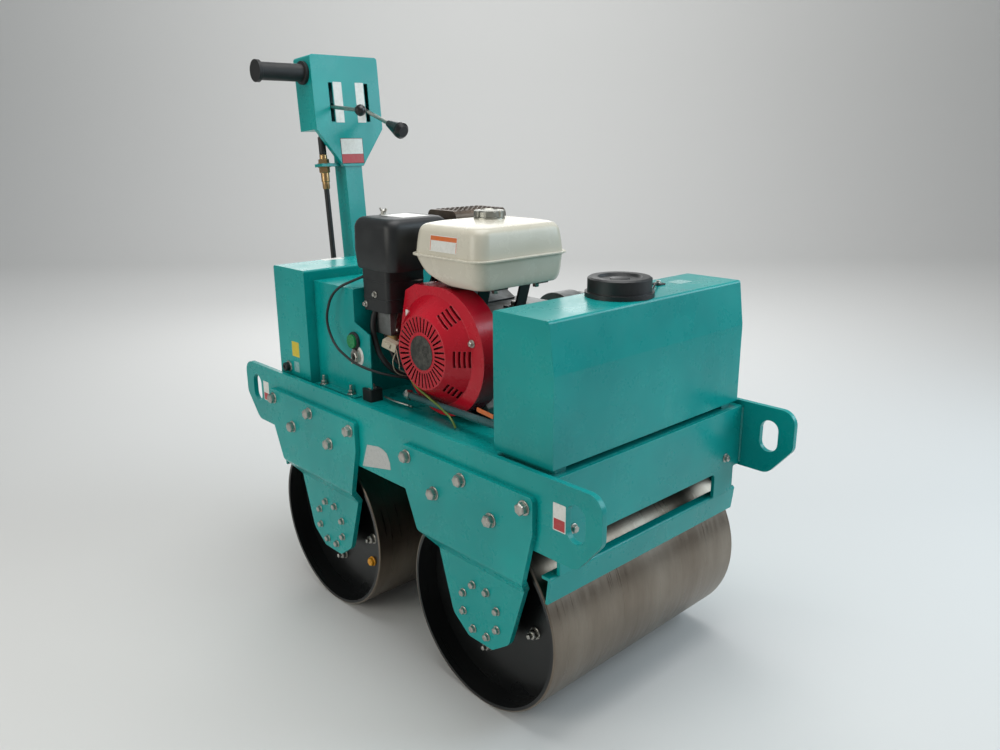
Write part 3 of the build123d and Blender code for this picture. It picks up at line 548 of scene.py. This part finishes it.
# Hydraulic tank: a blank yellow label, a black screw plug with its washer and a piece of
# clear film on the near face, and a moulded filler cap and a white film on the top.
tank_low, tank_high = ends("hydraulic_tank")
sticker("sticker_hydraulic_tank", near_face(-417, tank_low.y, 0.622), (34, 38), "root", [yellow_film],
        [(5, 5, 24, 28, 0)])
form = bmesh.new()
plug_place = facing((at(-438, 0, 0).x, tank_low.y, 0.591), (0, -1, 0))
turned(form, plug_place, [(0, 0), (14, 0), (14, 2), (12, 3), (0, 3)], 32, 1)
turned(form, plug_place, [(0, 3), (11, 3), (11, 12), (9.5, 14), (5, 14), (4, 11), (0, 11)], 32)
finished(form, "hydraulic_plug", [black_plastic, zinc_steel], "root")
sticker("sticker_plug", near_face(-412, tank_low.y, 0.583), (24, 26), "root", [clear_film])
form = bmesh.new()
filler_place = facing((tank_low.x + 0.072, 0.19, tank_high.z), (0, 0, 1))
turned(form, filler_place, [(0, 0), (24, 0), (24, 5), (22, 6), (22, 20), (20, 22), (0, 22)], 6, 0, 0.2)
finished(form, "hydraulic_filler", [black_plastic], "root")
film_corner = Matrix.Translation((tank_low.x + 0.004, -0.165, tank_high.z))
sticker("sticker_tank_rear", film_corner, (26, 58), "root", [white_film])

# Control cabinet: sheet steel with a folded foot held by two studs and nuts; a green
# push button in a black collar, and a plated key switch with a printed ring.
cabinet_low = ends("control_cabinet")[0]
form = bmesh.new()
for station in (-303, -184):
    spot = (at(station, 0, 0).x, cabinet_low.y + 0.009, cabinet_low.z + 0.003)
    bolt(form, facing(spot, (0, 0, 1)), 13, 8, 20)
    turned(form, facing(spot, (0, 0, 1)), [(0, 10), (4, 10), (4, 22), (3.2, 23), (0, 23)], 16)
finished(form, "cabinet_studs", [zinc_steel], "root")
green_plastic = moulded_plastic("moulded_green_button", "#0B7A3E", "#1C8F55", 0.22)
dress(green_plastic, "start_button")
button_low, button_high = ends("start_button")
button = (button_low + button_high) / 2
panel_face = button_high.y
form = bmesh.new()
collar = facing((button.x, panel_face, button.z), (0, -1, 0))
turned(form, collar, [(16.2, 0), (21, 0), (21, 5), (19.5, 7), (16.2, 7)], 36)
finished(form, "button_collar", [black_plastic], "root")
key_low, key_high = ends("key_switch")
key_middle = Vector(((key_low.x + key_high.x) / 2, panel_face, key_high.z - 0.016))
form = bmesh.new()
turned(form, facing(key_middle, (0, -1, 0)), [(16.2, 0), (24, 0), (24, 1), (22.5, 2), (16.2, 2)], 36, 0)
turned(form, facing(key_middle, (0, -1, 0)), [(8.5, 9), (12, 9), (12, 12), (10.5, 13), (8.5, 13)], 6, 1)
finished(form, "key_ring", [white_film, zinc_steel], "root")

# Engine castings: block, cylinder, carburettor and pump are die-cast aluminium, left
# with the grain of the mould and patches of oil dirt, and darker towards near black in
# the recesses between the fins.
cast_aluminium, tree, shader, place = material("die_cast_aluminium", 0.5, 0.85)
sand = add(tree, "TexNoise", Vector=place, Scale=420.0, Detail=3.0, Roughness=0.7)
oil = add(tree, "TexNoise", Vector=place, Scale=16.0, Detail=5.0, Roughness=0.6)
oily = add(tree, "MapRange", Value=oil, i1=0.42, i2=0.72)
cast_tone = add(tree, "Mix", rgba, Factor=oily, i6="#8B8D8C", i7="#4A4844")
# Occlusion darkens the recesses towards near black.
nook = add(tree, "AmbientOcclusion", {"samples": 4}, out="AO", Distance=0.03)
deep = add(tree, "MapRange", Value=nook, i1=0.15, i2=0.8, i3=0.75, i4=0.0)
darker_in_recesses = add(tree, "Mix", rgba, Factor=deep, i6=cast_tone, i7="#1A1917")
grain = add(tree, "MapRange", Value=sand, i1=0.3, i2=0.7, i3=0.42, i4=0.62)
rounded = add(tree, "Bevel", {"samples": 4}, Radius=0.002)
bump = add(tree, "Bump", Strength=0.3, Distance=0.0004, Height=sand, Normal=rounded)
fill(tree, shader, Base_Color=darker_in_recesses, Roughness=grain, Normal=bump)
dress(cast_aluminium, "engine_block", "engine_cylinder", "carburettor", "pump_housing")

# Engine block: plated bolts in a ring round its side cover, a moulded oil plug with a
# grip, and the screws that hold the block to its rails.
block_low, block_high = ends("engine_block")
crank = at(68, 0, 711)
form = bmesh.new()
cover = facing((crank.x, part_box("fan_housing")[1].y + 0.222, crank.z), (0, 1, 0))
cover_bolts, cover_width, cover_height = 8, 0.07, 0.058
for index in range(cover_bolts):
    angle = 2 * pi * (index + 0.5) / cover_bolts
    spot = cover @ Matrix.Translation((cover_width * cos(angle), cover_height * sin(angle), 0))
    bolt(form, spot, 10, 6, 16)
for across in (-0.094, 0.094):
    for along in (-0.135, 0.085):
        spot = (crank.x + across, along, block_low.z + 0.014)
        bolt(form, facing(spot, (0, 0, 1)), 13, 8, 22)
finished(form, "engine_block_bolts", [zinc_steel], "root")
form = bmesh.new()
dipstick = facing((block_high.x - 0.024, 0.05, block_low.z + 0.045), (1, 0, 0.5))
turned(form, dipstick, [(0, 0), (11, 0), (11, 8), (15, 9), (15, 17), (13, 19), (0, 19)], 12)
finished(form, "oil_filler", [black_plastic], "root")

# Pump: four hexagon screws of plated steel hold its end cover, and two plugs with a
# socket for a key close the ports on its underside.
def shifted(x, y, z):
    """Shift along a frame's own directions, in millimetres."""
    return Matrix.Translation((x / 1000, y / 1000, z / 1000))


pump_low, pump_high = ends("pump_housing")
pump_middle = (pump_low + pump_high) / 2
form = bmesh.new()
pump_end = facing((crank.x, pump_high.y, crank.z), (0, 1, 0))
for across in (-36, 36):
    for rise_by in (-41, 41):
        bolt(form, pump_end @ shifted(across, rise_by, 0), 13, 8, 0)
for across in (-0.028, 0.028):
    port = (crank.x + across, pump_middle.y + 0.03, pump_low.z)
    turned(form, facing(port, (0, 0, -1)), [(0, 0), (14, 0), (14, 7), (12.5, 8), (5, 8), (5, 4), (0, 4)], 6)
finished(form, "pump_screws", [zinc_steel], "root")

# Control cables and hand grip: black rubber, drawn over the cables and pushed onto the
# grip bar, with talc left in its pores.
def rubber(name, hex_colour, light, roughness=0.55):
    """Extruded or moulded rubber, with talc left in its pores."""
    made, tree, shader, place = material(name, roughness)
    pores = add(tree, "TexNoise", Vector=place, Scale=600.0, Detail=2.0)
    talc = add(tree, "TexNoise", Vector=place, Scale=26.0, Detail=4.0, Roughness=0.6)
    pale = add(tree, "MapRange", Value=talc, i1=0.45, i2=0.8, i3=0.0, i4=0.6)
    colour = add(tree, "Mix", rgba, Factor=pale, i6=hex_colour, i7=light)
    sheen = add(tree, "MapRange", Value=talc, i1=0.3, i2=0.8, i3=roughness - 0.1, i4=roughness + 0.15)
    bump = add(tree, "Bump", Strength=0.2, Distance=0.0002, Height=pores)
    fill(tree, shader, Base_Color=colour, Roughness=sheen, Normal=bump)
    return made


black_rubber = rubber("black_rubber", "#121314", "#2B2D2D")
dress(black_rubber, "engine_cable", "handle_cable", "hand_grip")

# Recoil cover and fan shroud: pressed steel sprayed red. A blank dark badge fills the
# middle, hexagon screws hold the shroud, and a small white film lies on it.
# Its pink edge line is partly wear and partly a painted highlight; the near-black nook colour, mixed in
# almost fully, is a painted shade.
engine_red = sprayed_enamel("sprayed_red_enamel", "#A90C1E", "#C4162B", "#E8757A", "#140708",
                            gloss=0.2, nook_mix=0.95, nook_size=0.012)
dress(engine_red, "fan_housing")
recoil_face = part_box("fan_housing")[0].y
badge = facing((crank.x, recoil_face, crank.z), (0, -1, 0))
dark_foil = film("dark_foil_film", "#14160F", 0.5)
form = bmesh.new()
turned(form, badge, [(0, 0), (37, 0), (37, 0.8), (36, 1.4), (0, 1.4)], 56)
finished(form, "badge", [dark_foil], "root")
form = bmesh.new()
screw_radius, screw_depth = 123.5, 38
for angle in (-16, 98, 178):
    spot = badge @ shifted(0, 0, -screw_depth) @ Matrix.Rotation(radians(-angle), 4, "Z")
    bolt(form, spot @ shifted(screw_radius, 0, 0), 10, 6, 17)
finished(form, "shroud_screws", [zinc_steel], "root")
tag_station, tag_z = -19, 0.772
tag_middle = Vector((at(tag_station, 0, 0).x + 0.005, -1, tag_z + 0.008))
struck = frame["nodes"]["fan_housing"].ray_cast(tag_middle, Vector((0, 1, 0)))
sticker("tag_shroud", near_face(tag_station, struck[1].y, tag_z), (10, 16), "root", [white_film])

# Fuel tank: two steel pressings joined at a seam and sprayed cream, on straps with plated
# bolts. The label near its corner is blank, with a coloured bar, and the screw cap is
# pressed steel with six lobes.
# Its pale edge line is partly wear and partly a painted highlight; its darker nook colour is a painted shade.
cream = sprayed_enamel("sprayed_cream_enamel", "#C9C3B1", "#D6D1C2", "#EFECE2", "#8F8A78", 0.2)
tank_seam = 0.910


def pressed_stack(form, low, high, floor_z, rows, corners=9):
    """Rounded rectangles between two corners, from rows of (rise, insets left, right, near, far, corner)."""
    rings = []
    for rise, *insets, corner in rows:
        z, corner = floor_z + rise / 1000, corner / 1000
        left, right_x = low.x + insets[0] / 1000, high.x - insets[1] / 1000
        near, far = low.y + insets[2] / 1000, high.y - insets[3] / 1000
        centres = ((right_x - corner, far - corner), (left + corner, far - corner),
                   (left + corner, near + corner), (right_x - corner, near + corner))
        ring = []
        for quarter, (x, y) in enumerate(centres):
            for step in range(corners):
                angle = (quarter + step / (corners - 1)) * pi / 2
                ring.append(form.verts.new((x + corner * cos(angle), y + corner * sin(angle), z)))
        rings.append(ring)
    for low, high in zip(rings, rings[1:]):
        for i in range(len(low)):
            j = (i + 1) % len(low)
            form.faces.new((low[i], low[j], high[j], high[i]))
    form.faces.new(rings[0][::-1])
    form.faces.new(rings[-1])


def eased(rows, steps=4):
    """Rows with smooth steps put in between them, on the curve through all of them."""
    out = []
    for i in range(len(rows) - 1):
        knots = [rows[max(0, i - 1)], rows[i], rows[i + 1], rows[min(len(rows) - 1, i + 2)]]
        for step in range(steps):
            t = step / steps
            out.append([0.5 * (2 * b + (c - a) * t + (2 * a - 5 * b + 4 * c - d) * t * t
                               + (3 * b - a - 3 * c + d) * t ** 3) for a, b, c, d in zip(*knots)])
    return out + [rows[-1]]


node_low, node_high = ends("fuel_tank")
flange = 7.0
# Rows of (rise from the seam, inset left, inset right, inset near and far, corner radius)
upper_rows = [(2, 0, 0, 0, 30), (24, 2, 2, 2, 30), (46, 5, 5, 5, 30), (55, 8, 8, 8, 30), (61, 14, 14, 14, 28),
              (64, 23, 23, 23, 26), (68, 44, 44, 44, 22), (71, 72, 72, 72, 16)]
lower_rows = [(-60, 104, 14, 20, 24), (-58, 90, 8, 14, 26), (-49, 60, 4, 8, 28), (-36, 28, 2, 4, 30),
              (-17, 9, 1, 2, 30), (-2, 0, 0, 0, 30)]
form = bmesh.new()
for rows in (lower_rows, upper_rows):
    pressed_stack(form, node_low, node_high, tank_seam, [
        (rise, flange + left, flange + right_in, flange + side, flange + side, corner)
        for rise, left, right_in, side, corner in eased(rows)])
lip = [(-2, 0.6), (-1.4, 0), (1.4, 0), (2, 0.6)]
pressed_stack(form, node_low, node_high, tank_seam, [
    (rise, inset, inset, inset, inset, 36) for rise, inset in lip])
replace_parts(finished(form, "fuel_tank_pressing", [cream], "root", 38), "fuel_tank")
# The tank's side leans in by 5 mm over 44 mm above the seam.
lean_in, side_height = 0.005, 0.044
slope = Vector((0, lean_in, side_height)).normalized()
label_rise = 0.011
label_y = node_low.y + flange / 1000 + lean_in * (label_rise - 0.002) / side_height - 0.0004
label_corner = upright((at(63, 0, 0).x, label_y, tank_seam + label_rise), (1, 0, 0), slope)
sticker("label_fuel_tank", label_corner, (86, 33), "root", [white_film, orange_film],
        [(1.5, 22.5, 83, 9, 1), (1.5, 1.5, 1.5, 20, 1), (83, 1.5, 1.5, 20, 1)])
bright_cap, tree, shader, place = material("plated_pressed_steel", 0.3, 1.0)
brush = add(tree, "TexNoise", Vector=place, Scale=90.0, Detail=4.0, Roughness=0.65)
cap_tone = add(tree, "Mix", rgba, Factor=brush, i6="#86867F", i7="#B9B8AF")
satin = add(tree, "MapRange", Value=brush, i1=0.3, i2=0.7, i3=0.28, i4=0.45)
fill(tree, shader, Base_Color=cap_tone, Roughness=satin)
cap_low, cap_high = ends("fuel_cap")
cap_base = Matrix.Translation(((cap_low.x + cap_high.x) / 2, (cap_low.y + cap_high.y) / 2, cap_low.z))
form = bmesh.new()
rows = [(0, 0), (33, 0), (33, 3), (30, 4.5), (30, 14), (28, 17), (20, 18.5), (18, 17), (0, 17)]
turned(form, cap_base, rows, 56)
lobes = 6
for index in range(lobes):
    turn = Matrix.Rotation(2 * pi * (index + 0.3) / lobes, 4, "Z")
    lobe = cap_base @ shifted(0, 0, 4) @ turn
    slab(form, lobe, [(26, -9), (32, -9), (33, -7), (33, 7), (32, 9), (26, 9)], 12.5)
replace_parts(finished(form, "fuel_cap_lobes", [bright_cap], "root"), "fuel_cap")
strap_low, strap_high = ends("tank_brackets")
form = bmesh.new()
for along in (strap_low.y + 0.015, strap_high.y - 0.015):
    spot = (strap_high.x - 0.022, along, strap_high.z - 0.004)
    bolt(form, facing(spot, (0, 0, -1)), 13, 8, 20)
    spot = (strap_low.x + 0.018, along, strap_low.z + 0.004)
    bolt(form, facing(spot, (0, 0, 1)), 13, 8, 20)
finished(form, "tank_strap_bolts", [zinc_steel], "root")

# Air cleaner: moulded black cover held by a wing nut, over its elbow with two screws;
# a blank white label lies on its top.
cleaner_low, cleaner_high = ends("air_cleaner")
cleaner_middle = (cleaner_low + cleaner_high) / 2
case_height = 112
case_floor = cleaner_high.z - case_height / 1000
form = bmesh.new()
case_rows = [(0, 6, 22), (4, 3.5, 24), (40, 0, 27), (90, 1.0, 27), (97, 2.2, 27), (103, 4.6, 27),
             (108, 8.5, 26), (111, 13.5, 24), (case_height, 20, 20)]
pressed_stack(form, cleaner_low, cleaner_high, case_floor, [
    (rise, inset, inset, inset, inset, corner) for rise, inset, corner in case_rows])
# The elbow under the case narrows a little at its foot, and two mould bands go round it.
elbow_far = Vector((cleaner_high.x, cleaner_low.y + 0.12, 0))
elbow_rows = [(-93, 0.8), (-92, 0), (0, -1), (1, -1)]
bands = [[(-rise - step, -out) for step, out in ((4, 0), (3, 1.2), (1, 1.2), (0, 0))] for rise in (22, 62)]
for rows in (elbow_rows, *bands):
    pressed_stack(form, cleaner_low, elbow_far, case_floor, [
        (rise, 26 + inset, 30 + inset, 8 + inset, 8 + inset, 12) for rise, inset in rows])
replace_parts(finished(form, "air_cleaner_case", [black_plastic], "root", 38), "air_cleaner")
label_corner = Matrix.Translation((cleaner_low.x + 0.030, cleaner_middle.y - 0.022, cleaner_high.z))
sticker("label_air_cleaner", label_corner, (88, 72), "root", [white_film])
form = bmesh.new()
nut_place = Matrix.Translation((cleaner_low.x + 0.020, cleaner_middle.y - 0.005, cleaner_high.z))
turned(form, nut_place, [(0, 0), (9, 0), (9, 1.5), (6, 2), (6, 9), (4, 11), (0, 11)], 24)
for wing in (-1, 1):
    slab(form, nut_place @ Matrix.Rotation(pi / 2, 4, "X") @ shifted(0, 0, -1),
         [(wing * 3, 3), (wing * 12, 8), (wing * 14, 14), (wing * 10, 15), (wing * 4, 10)][::wing], 2)
finished(form, "wing_nut", [zinc_steel], "root")
elbow_face = cleaner_low.y + 0.008
form = bmesh.new()
for station, height in ((-141, 786), (-103, 812)):
    bolt(form, facing((at(station, 0, 0).x, elbow_face, height / 1000), (0, -1, 0)), 9, 5, 15)
finished(form, "elbow_screws", [zinc_steel], "root")

# Carburettor and governor: a turned brass bowl with its drain screw, the throttle and
# choke levers of plated steel, a thin rod and a return spring.
brass, tree, shader, place = material("turned_brass", 0.32, 1.0)
tarnish = add(tree, "TexNoise", Vector=place, Scale=70.0, Detail=4.0, Roughness=0.6)
brass_tone = add(tree, "Mix", rgba, Factor=tarnish, i6="#C9AA78", i7="#8C6A48")
turning = add(tree, "MapRange", Value=tarnish, i1=0.3, i2=0.7, i3=0.26, i4=0.42)
fill(tree, shader, Base_Color=brass_tone, Roughness=turning)
carb_low, carb_high = ends("carburettor")
bowl_place = facing((carb_low.x + 0.029, carb_low.y + 0.030, carb_low.z + 0.002), (0, 0, -1))
form = bmesh.new()
turned(form, bowl_place, [(0, 0), (27, 0), (27, 4), (24, 6), (23, 26), (17, 34), (0, 35)], 36)
turned(form, bowl_place, [(0, 35), (5, 35), (5, 41), (0, 42)], 6, 1)
finished(form, "carburettor_bowl", [brass, zinc_steel], "root")
form = bmesh.new()
lever_outline = [(-6, -6), (6, -6), (9, 24), (6, 50), (-2, 52), (-5, 24)]
lever_foot = (carb_high.x + 0.001, carb_low.y + 0.016, carb_low.z + 0.012)
lever_place = upright(lever_foot, (0, 1, 0), (0, 0.2, 1))
slab(form, lever_place, lever_outline, 2)
bolt(form, lever_place @ shifted(0, 0, 2), 8, 4, 0, 0.3)
choke_place = upright(at(-62, -182, 838), (0.9, 0, 0.15), (0, 1, 0))
slab(form, choke_place, [(-22, -5), (30, -7), (34, 0), (30, 7), (-22, 5)], 2.5)
finished(form, "carburettor_levers", [zinc_steel], "root")
rod_points = [lever_place @ Vector((0.002, 0.046, 0.004)), at(-20, -222, 790), at(20, -190, 786)]
tube("governor_rod", rod_points, 2.4, zinc_steel, "root")
spring_start, spring_end, coils, coil_radius = at(-52, -214, 772), at(-8, -214, 776), 12, 0.0035
spring_points = []
along = spring_end - spring_start
for step in range(coils * 8 + 1):
    angle = step * pi / 4
    round_it = Vector((0, coil_radius * cos(angle), coil_radius * sin(angle)))
    spring_points.append(spring_start + along * step / (coils * 8) + round_it)
tube("governor_spring", spring_points, 1.2, zinc_steel, "root")

# Wiring and hoses at the engine's near side: a white moulded connector, its thin leads,
# two black hoses that hang from the carburettor, a green and yellow lead in its plastic
# cover, and a small orange film on the deck's side.
white_plastic = moulded_plastic("moulded_white_nylon", "#B9B19C", "#8F8875", 0.4)
form = bmesh.new()
connector = upright(at(-78, -252, 712), (0.86, 0.35, -0.32), (0.35, 0, 0.94))
field(form, connector, (4, -8), (36, 20), 16, 0, 2.5)
field(form, connector @ shifted(0, 0, 16), (8, -3), (18, 10), 3, 0, 1.5)
field(form, connector, (39, -6), (14, 16), 14, 1, 2)
finished(form, "wiring_connector", [white_plastic, black_plastic], "root")
lead_green = moulded_plastic("green_yellow_pvc", "#5E7A2C", "#A3A63C", 0.4)
for name, thickness, finish, points in (
    ("connector_lead_0", 2.4, white_plastic,
     [(-36, -252, 700), (-30, -250, 672), (-52, -225, 640), (-22, -150, 632)]),
    ("connector_lead_1", 2.4, white_plastic,
     [(-40, -249, 694), (-50, -252, 665), (-58, -228, 632), (-28, -150, 624)]),
    ("connector_lead_2", 2.4, black_rubber,
     [(-30, -246, 702), (-14, -240, 676), (-30, -215, 650), (0, -150, 642)]),
    ("breather_hose", 13, black_rubber,
     [(-128, -232, 782), (-131, -244, 745), (-124, -246, 705), (-106, -240, 662), (-84, -205, 622),
      (-40, -160, 606), (0, -142, 604)]),
    ("fuel_hose", 9, black_rubber,
     [(-108, -226, 770), (-110, -228, 732), (-98, -226, 690), (-76, -214, 650), (-44, -180, 628),
      (0, -148, 624)]),
    ("earth_lead", 5, lead_green,
     [(-22, -206, 652), (4, -246, 646), (30, -254, 633), (78, -256, 616), (128, -258, 600),
      (160, -260, 586), (172, -260, 571)]),
):
    tube(name, [at(*point) for point in points], thickness, finish, "root")
form = bmesh.new()
field(form, upright(at(236, -257, 622), (0.995, 0, -0.0995), (0.0995, 0, 0.995)), (0, 0), (48, 9), 1, 0, 2)
finished(form, "lead_tag", [orange_film], "root")

# Engine foot on the deck: a moulded black rubber block with a plated screw through it,
# and the two thin plated rods of the throttle stop beside it.
form = bmesh.new()
foot_place = upright(at(-139, -262, 566), (1, 0, 0), (0, 1, 0))
field(form, foot_place, (0, -17), (36, 34), 28, 0, 4)
bolt(form, foot_place @ shifted(18, 0, 28), 13, 7, 19, 0.5, 1)
finished(form, "rubber_foot", [black_rubber, zinc_steel], "root")
bent_rod = [(-97, -236, 570), (-50, -244, 572), (-5, -237, 570)]
for offset, rise_by in ((0, 0), (9, 5)):
    points = [at(x, y - offset, z + rise_by) for x, y, z in bent_rod]
    tube(f"stop_rod_{offset}", points, 5, zinc_steel, "root")

# Muffler: welded steel box, browned by heat. Small pressed eyelets stand in rows on its
# top guard, and a short pipe leads out of its rear.
exhaust_steel, tree, shader, place = material("heat_tinted_steel", 0.45, 0.9)
heat = add(tree, "TexNoise", Vector=place, Scale=11.0, Detail=5.0, Roughness=0.65)
tint = add(tree, "ValToRGB", Fac=heat)
for stop, (position, colour) in zip(tint.node.color_ramp.elements, ((0.32, "#3E3833"), (0.7, "#7F6F62"))):
    stop.position, stop.color = position, linear(colour)
scale_marks = add(tree, "MapRange", Value=heat, i1=0.3, i2=0.7, i3=0.36, i4=0.6)
fill(tree, shader, Base_Color=tint, Roughness=scale_marks)
dress(exhaust_steel, "muffler")
muffler_low, muffler_high = ends("muffler")
form = bmesh.new()
pitch, hole, columns, lines = 15.0, 4.0, 6, 9
guard = Matrix.Translation((muffler_low.x + 0.010, muffler_low.y + 0.012, muffler_high.z))
for column in range(columns):
    for line in range(lines):
        spot = guard @ shifted(8 + pitch * column, 6 + pitch * line, 0)
        turned(form, spot, [(hole, 0), (hole + 1.2, 0), (hole + 1.0, 0.8), (hole, 0.8)], 12)
finished(form, "muffler_guard", [exhaust_steel], "root")
form = bmesh.new()
outlet = facing((muffler_low.x + 0.002, muffler_high.y - 0.035, muffler_low.z + 0.045), (-1, 0, 0))
turned(form, outlet, [(0, 0), (19, 0), (19, 3), (15, 4), (15, 26), (12.5, 26), (12.5, 2), (0, 2)], 32)
finished(form, "muffler_outlet", [exhaust_steel], "root")

# Water pipe: smooth grey-green rubber hose, with a plated steel clamp and its screw near
# each end.
pipe_grey = rubber("grey_green_hose", "#2C5152", "#456F70", 0.26)
dress(pipe_grey, "water_pipe")
pipe_low, pipe_high = ends("water_pipe")
pipe_middle = (pipe_low + pipe_high) / 2
form = bmesh.new()
for station in (pipe_high.x - 0.022, pipe_low.x + 0.014):
    spot = facing((station - 0.006, pipe_middle.y, pipe_middle.z), (1, 0, 0))
    turned(form, spot, [(8.0, 0), (9.6, 0), (9.6, 12), (8.0, 12)], 28)
    screw = facing((station, pipe_middle.y, pipe_middle.z + 0.008), (0, -1, 0.3))
    turned(form, screw, [(0, -7), (4, -7), (4, 9), (0, 9)], 6)
finished(form, "pipe_clamps", [zinc_steel], "root")

# Handle bracket: a plated steel washer and a split pin at each end of the cross pin hold
# the handle on its bracket.
pin_low, pin_high = ends("handle_pin")
pin_middle = (pin_low + pin_high) / 2
form = bmesh.new()
for side, end_y in ((-1, pin_low.y), (1, pin_high.y)):
    spot = facing((pin_middle.x, end_y - side * 0.0075, pin_middle.z), (0, side, 0))
    turned(form, spot, [(12.6, 0), (19, 0), (19, 2.2), (18.2, 3), (12.6, 3)], 32)
    for x in (-15, 15):
        spot = (pin_middle.x + x / 1000, end_y - side * 0.003, pin_middle.z)
        turned(form, facing(spot, (1 if x > 0 else -1, 0, 0)), [(0, -4), (1.6, -4), (1.6, 4), (0, 4)], 10)
finished(form, "pin_washers", [zinc_steel], "root")

# Control head: blank white strips beside the lever slots and a blank two-coloured
# plate below them; the whole head rides on the handle.
lean = radians(4.5)
pivot = at(-537.7, 0, 600)
stand = Matrix.Translation(pivot) @ Matrix.Rotation(-lean, 4, "Y")


def on_handle(x, y, z):
    """Frame on the leaning handle at a place in millimetres from its pivot, facing the front."""
    facing_front = Matrix(((0, 0, 1), (1, 0, 0), (0, 1, 0))).to_4x4()
    return stand @ shifted(x, y, z) @ facing_front


head_face = 29.0
for name, side in (("throttle", -42), ("drive", 26)):
    sticker(f"strip_{name}", on_handle(head_face, side, 584), (26, 102), "handle", [white_film])
sticker("plate_head", on_handle(head_face, -36, 478), (70, 66), "handle", [dark_foil, white_film, red_film],
        [(1.5, 25, 67, 39.5, 1), (1.5, 1.5, 67, 23, 2)])

# Levers: moulded black knobs on steel rods, which are covered by thin plated steel
# sleeves between the head's slots and the knobs.
lever_rod = moulded_plastic("moulded_black_knob", "#101112", "#232526", 0.3)
dress(lever_rod, "throttle_lever", "drive_lever")
for name, side, tip, knob in (("throttle", -50, (157, 601), 15), ("drive", 60, (120, 573), 1)):
    start = Vector((-12, side, 630))
    end = Vector((tip[0], side, tip[1]))
    direction = (end - start).normalized()
    first, last = start + direction * 42, end - direction * knob
    length = (last - first).length
    form = bmesh.new()
    rows = [(4.55, 0), (5.1, 0), (5.1, length), (4.55, length)]
    turned(form, stand @ facing(first / 1000, direction), rows, 24)
    finished(form, f"lever_sleeve_{name}", [zinc_steel], "handle")

# Cable end fittings: brass nuts clamp the threaded collar on both sides of the tab, and
# a black sleeve guides the cable above it.
def along_cable(z, direction):
    """Frame on the cable at a height in millimetres above the pivot, pointing up or down."""
    return stand @ facing((0, cable_side / 1000, z / 1000), (0, 0, direction))


tab_low, tab_high, cable_side, bore = 473, 481, -75, 7.2
upper_nut, lower_nut = 12, 16
form = bmesh.new()
for z, direction, nut in ((tab_high, 1, upper_nut), (tab_low, -1, lower_nut)):
    rows = [(bore, 0), (17, 0), (17, 1.5), (14, 2), (14, nut - 1.5), (12.5, nut), (bore, nut)]
    turned(form, along_cable(z, direction), rows, 6)
rows = [(bore, 0), (11, 0), (11, 22), (9.5, 24), (9.5, 40), (8.5, 42), (bore, 42)]
turned(form, along_cable(tab_low - lower_nut, -1), rows, 24)
rows = [(bore, 0), (10, 0), (10, 10), (8.5, 12), (bore, 12)]
turned(form, along_cable(tab_high + upper_nut, 1), rows, 24)
finished(form, "cable_nuts", [brass], "handle")
form = bmesh.new()
turned(form, along_cable(tab_high + 24, 1), [(bore, 0), (9.5, 0), (9.5, 44), (bore, 44)], 24)
finished(form, "cable_sleeve", [black_rubber], "handle")
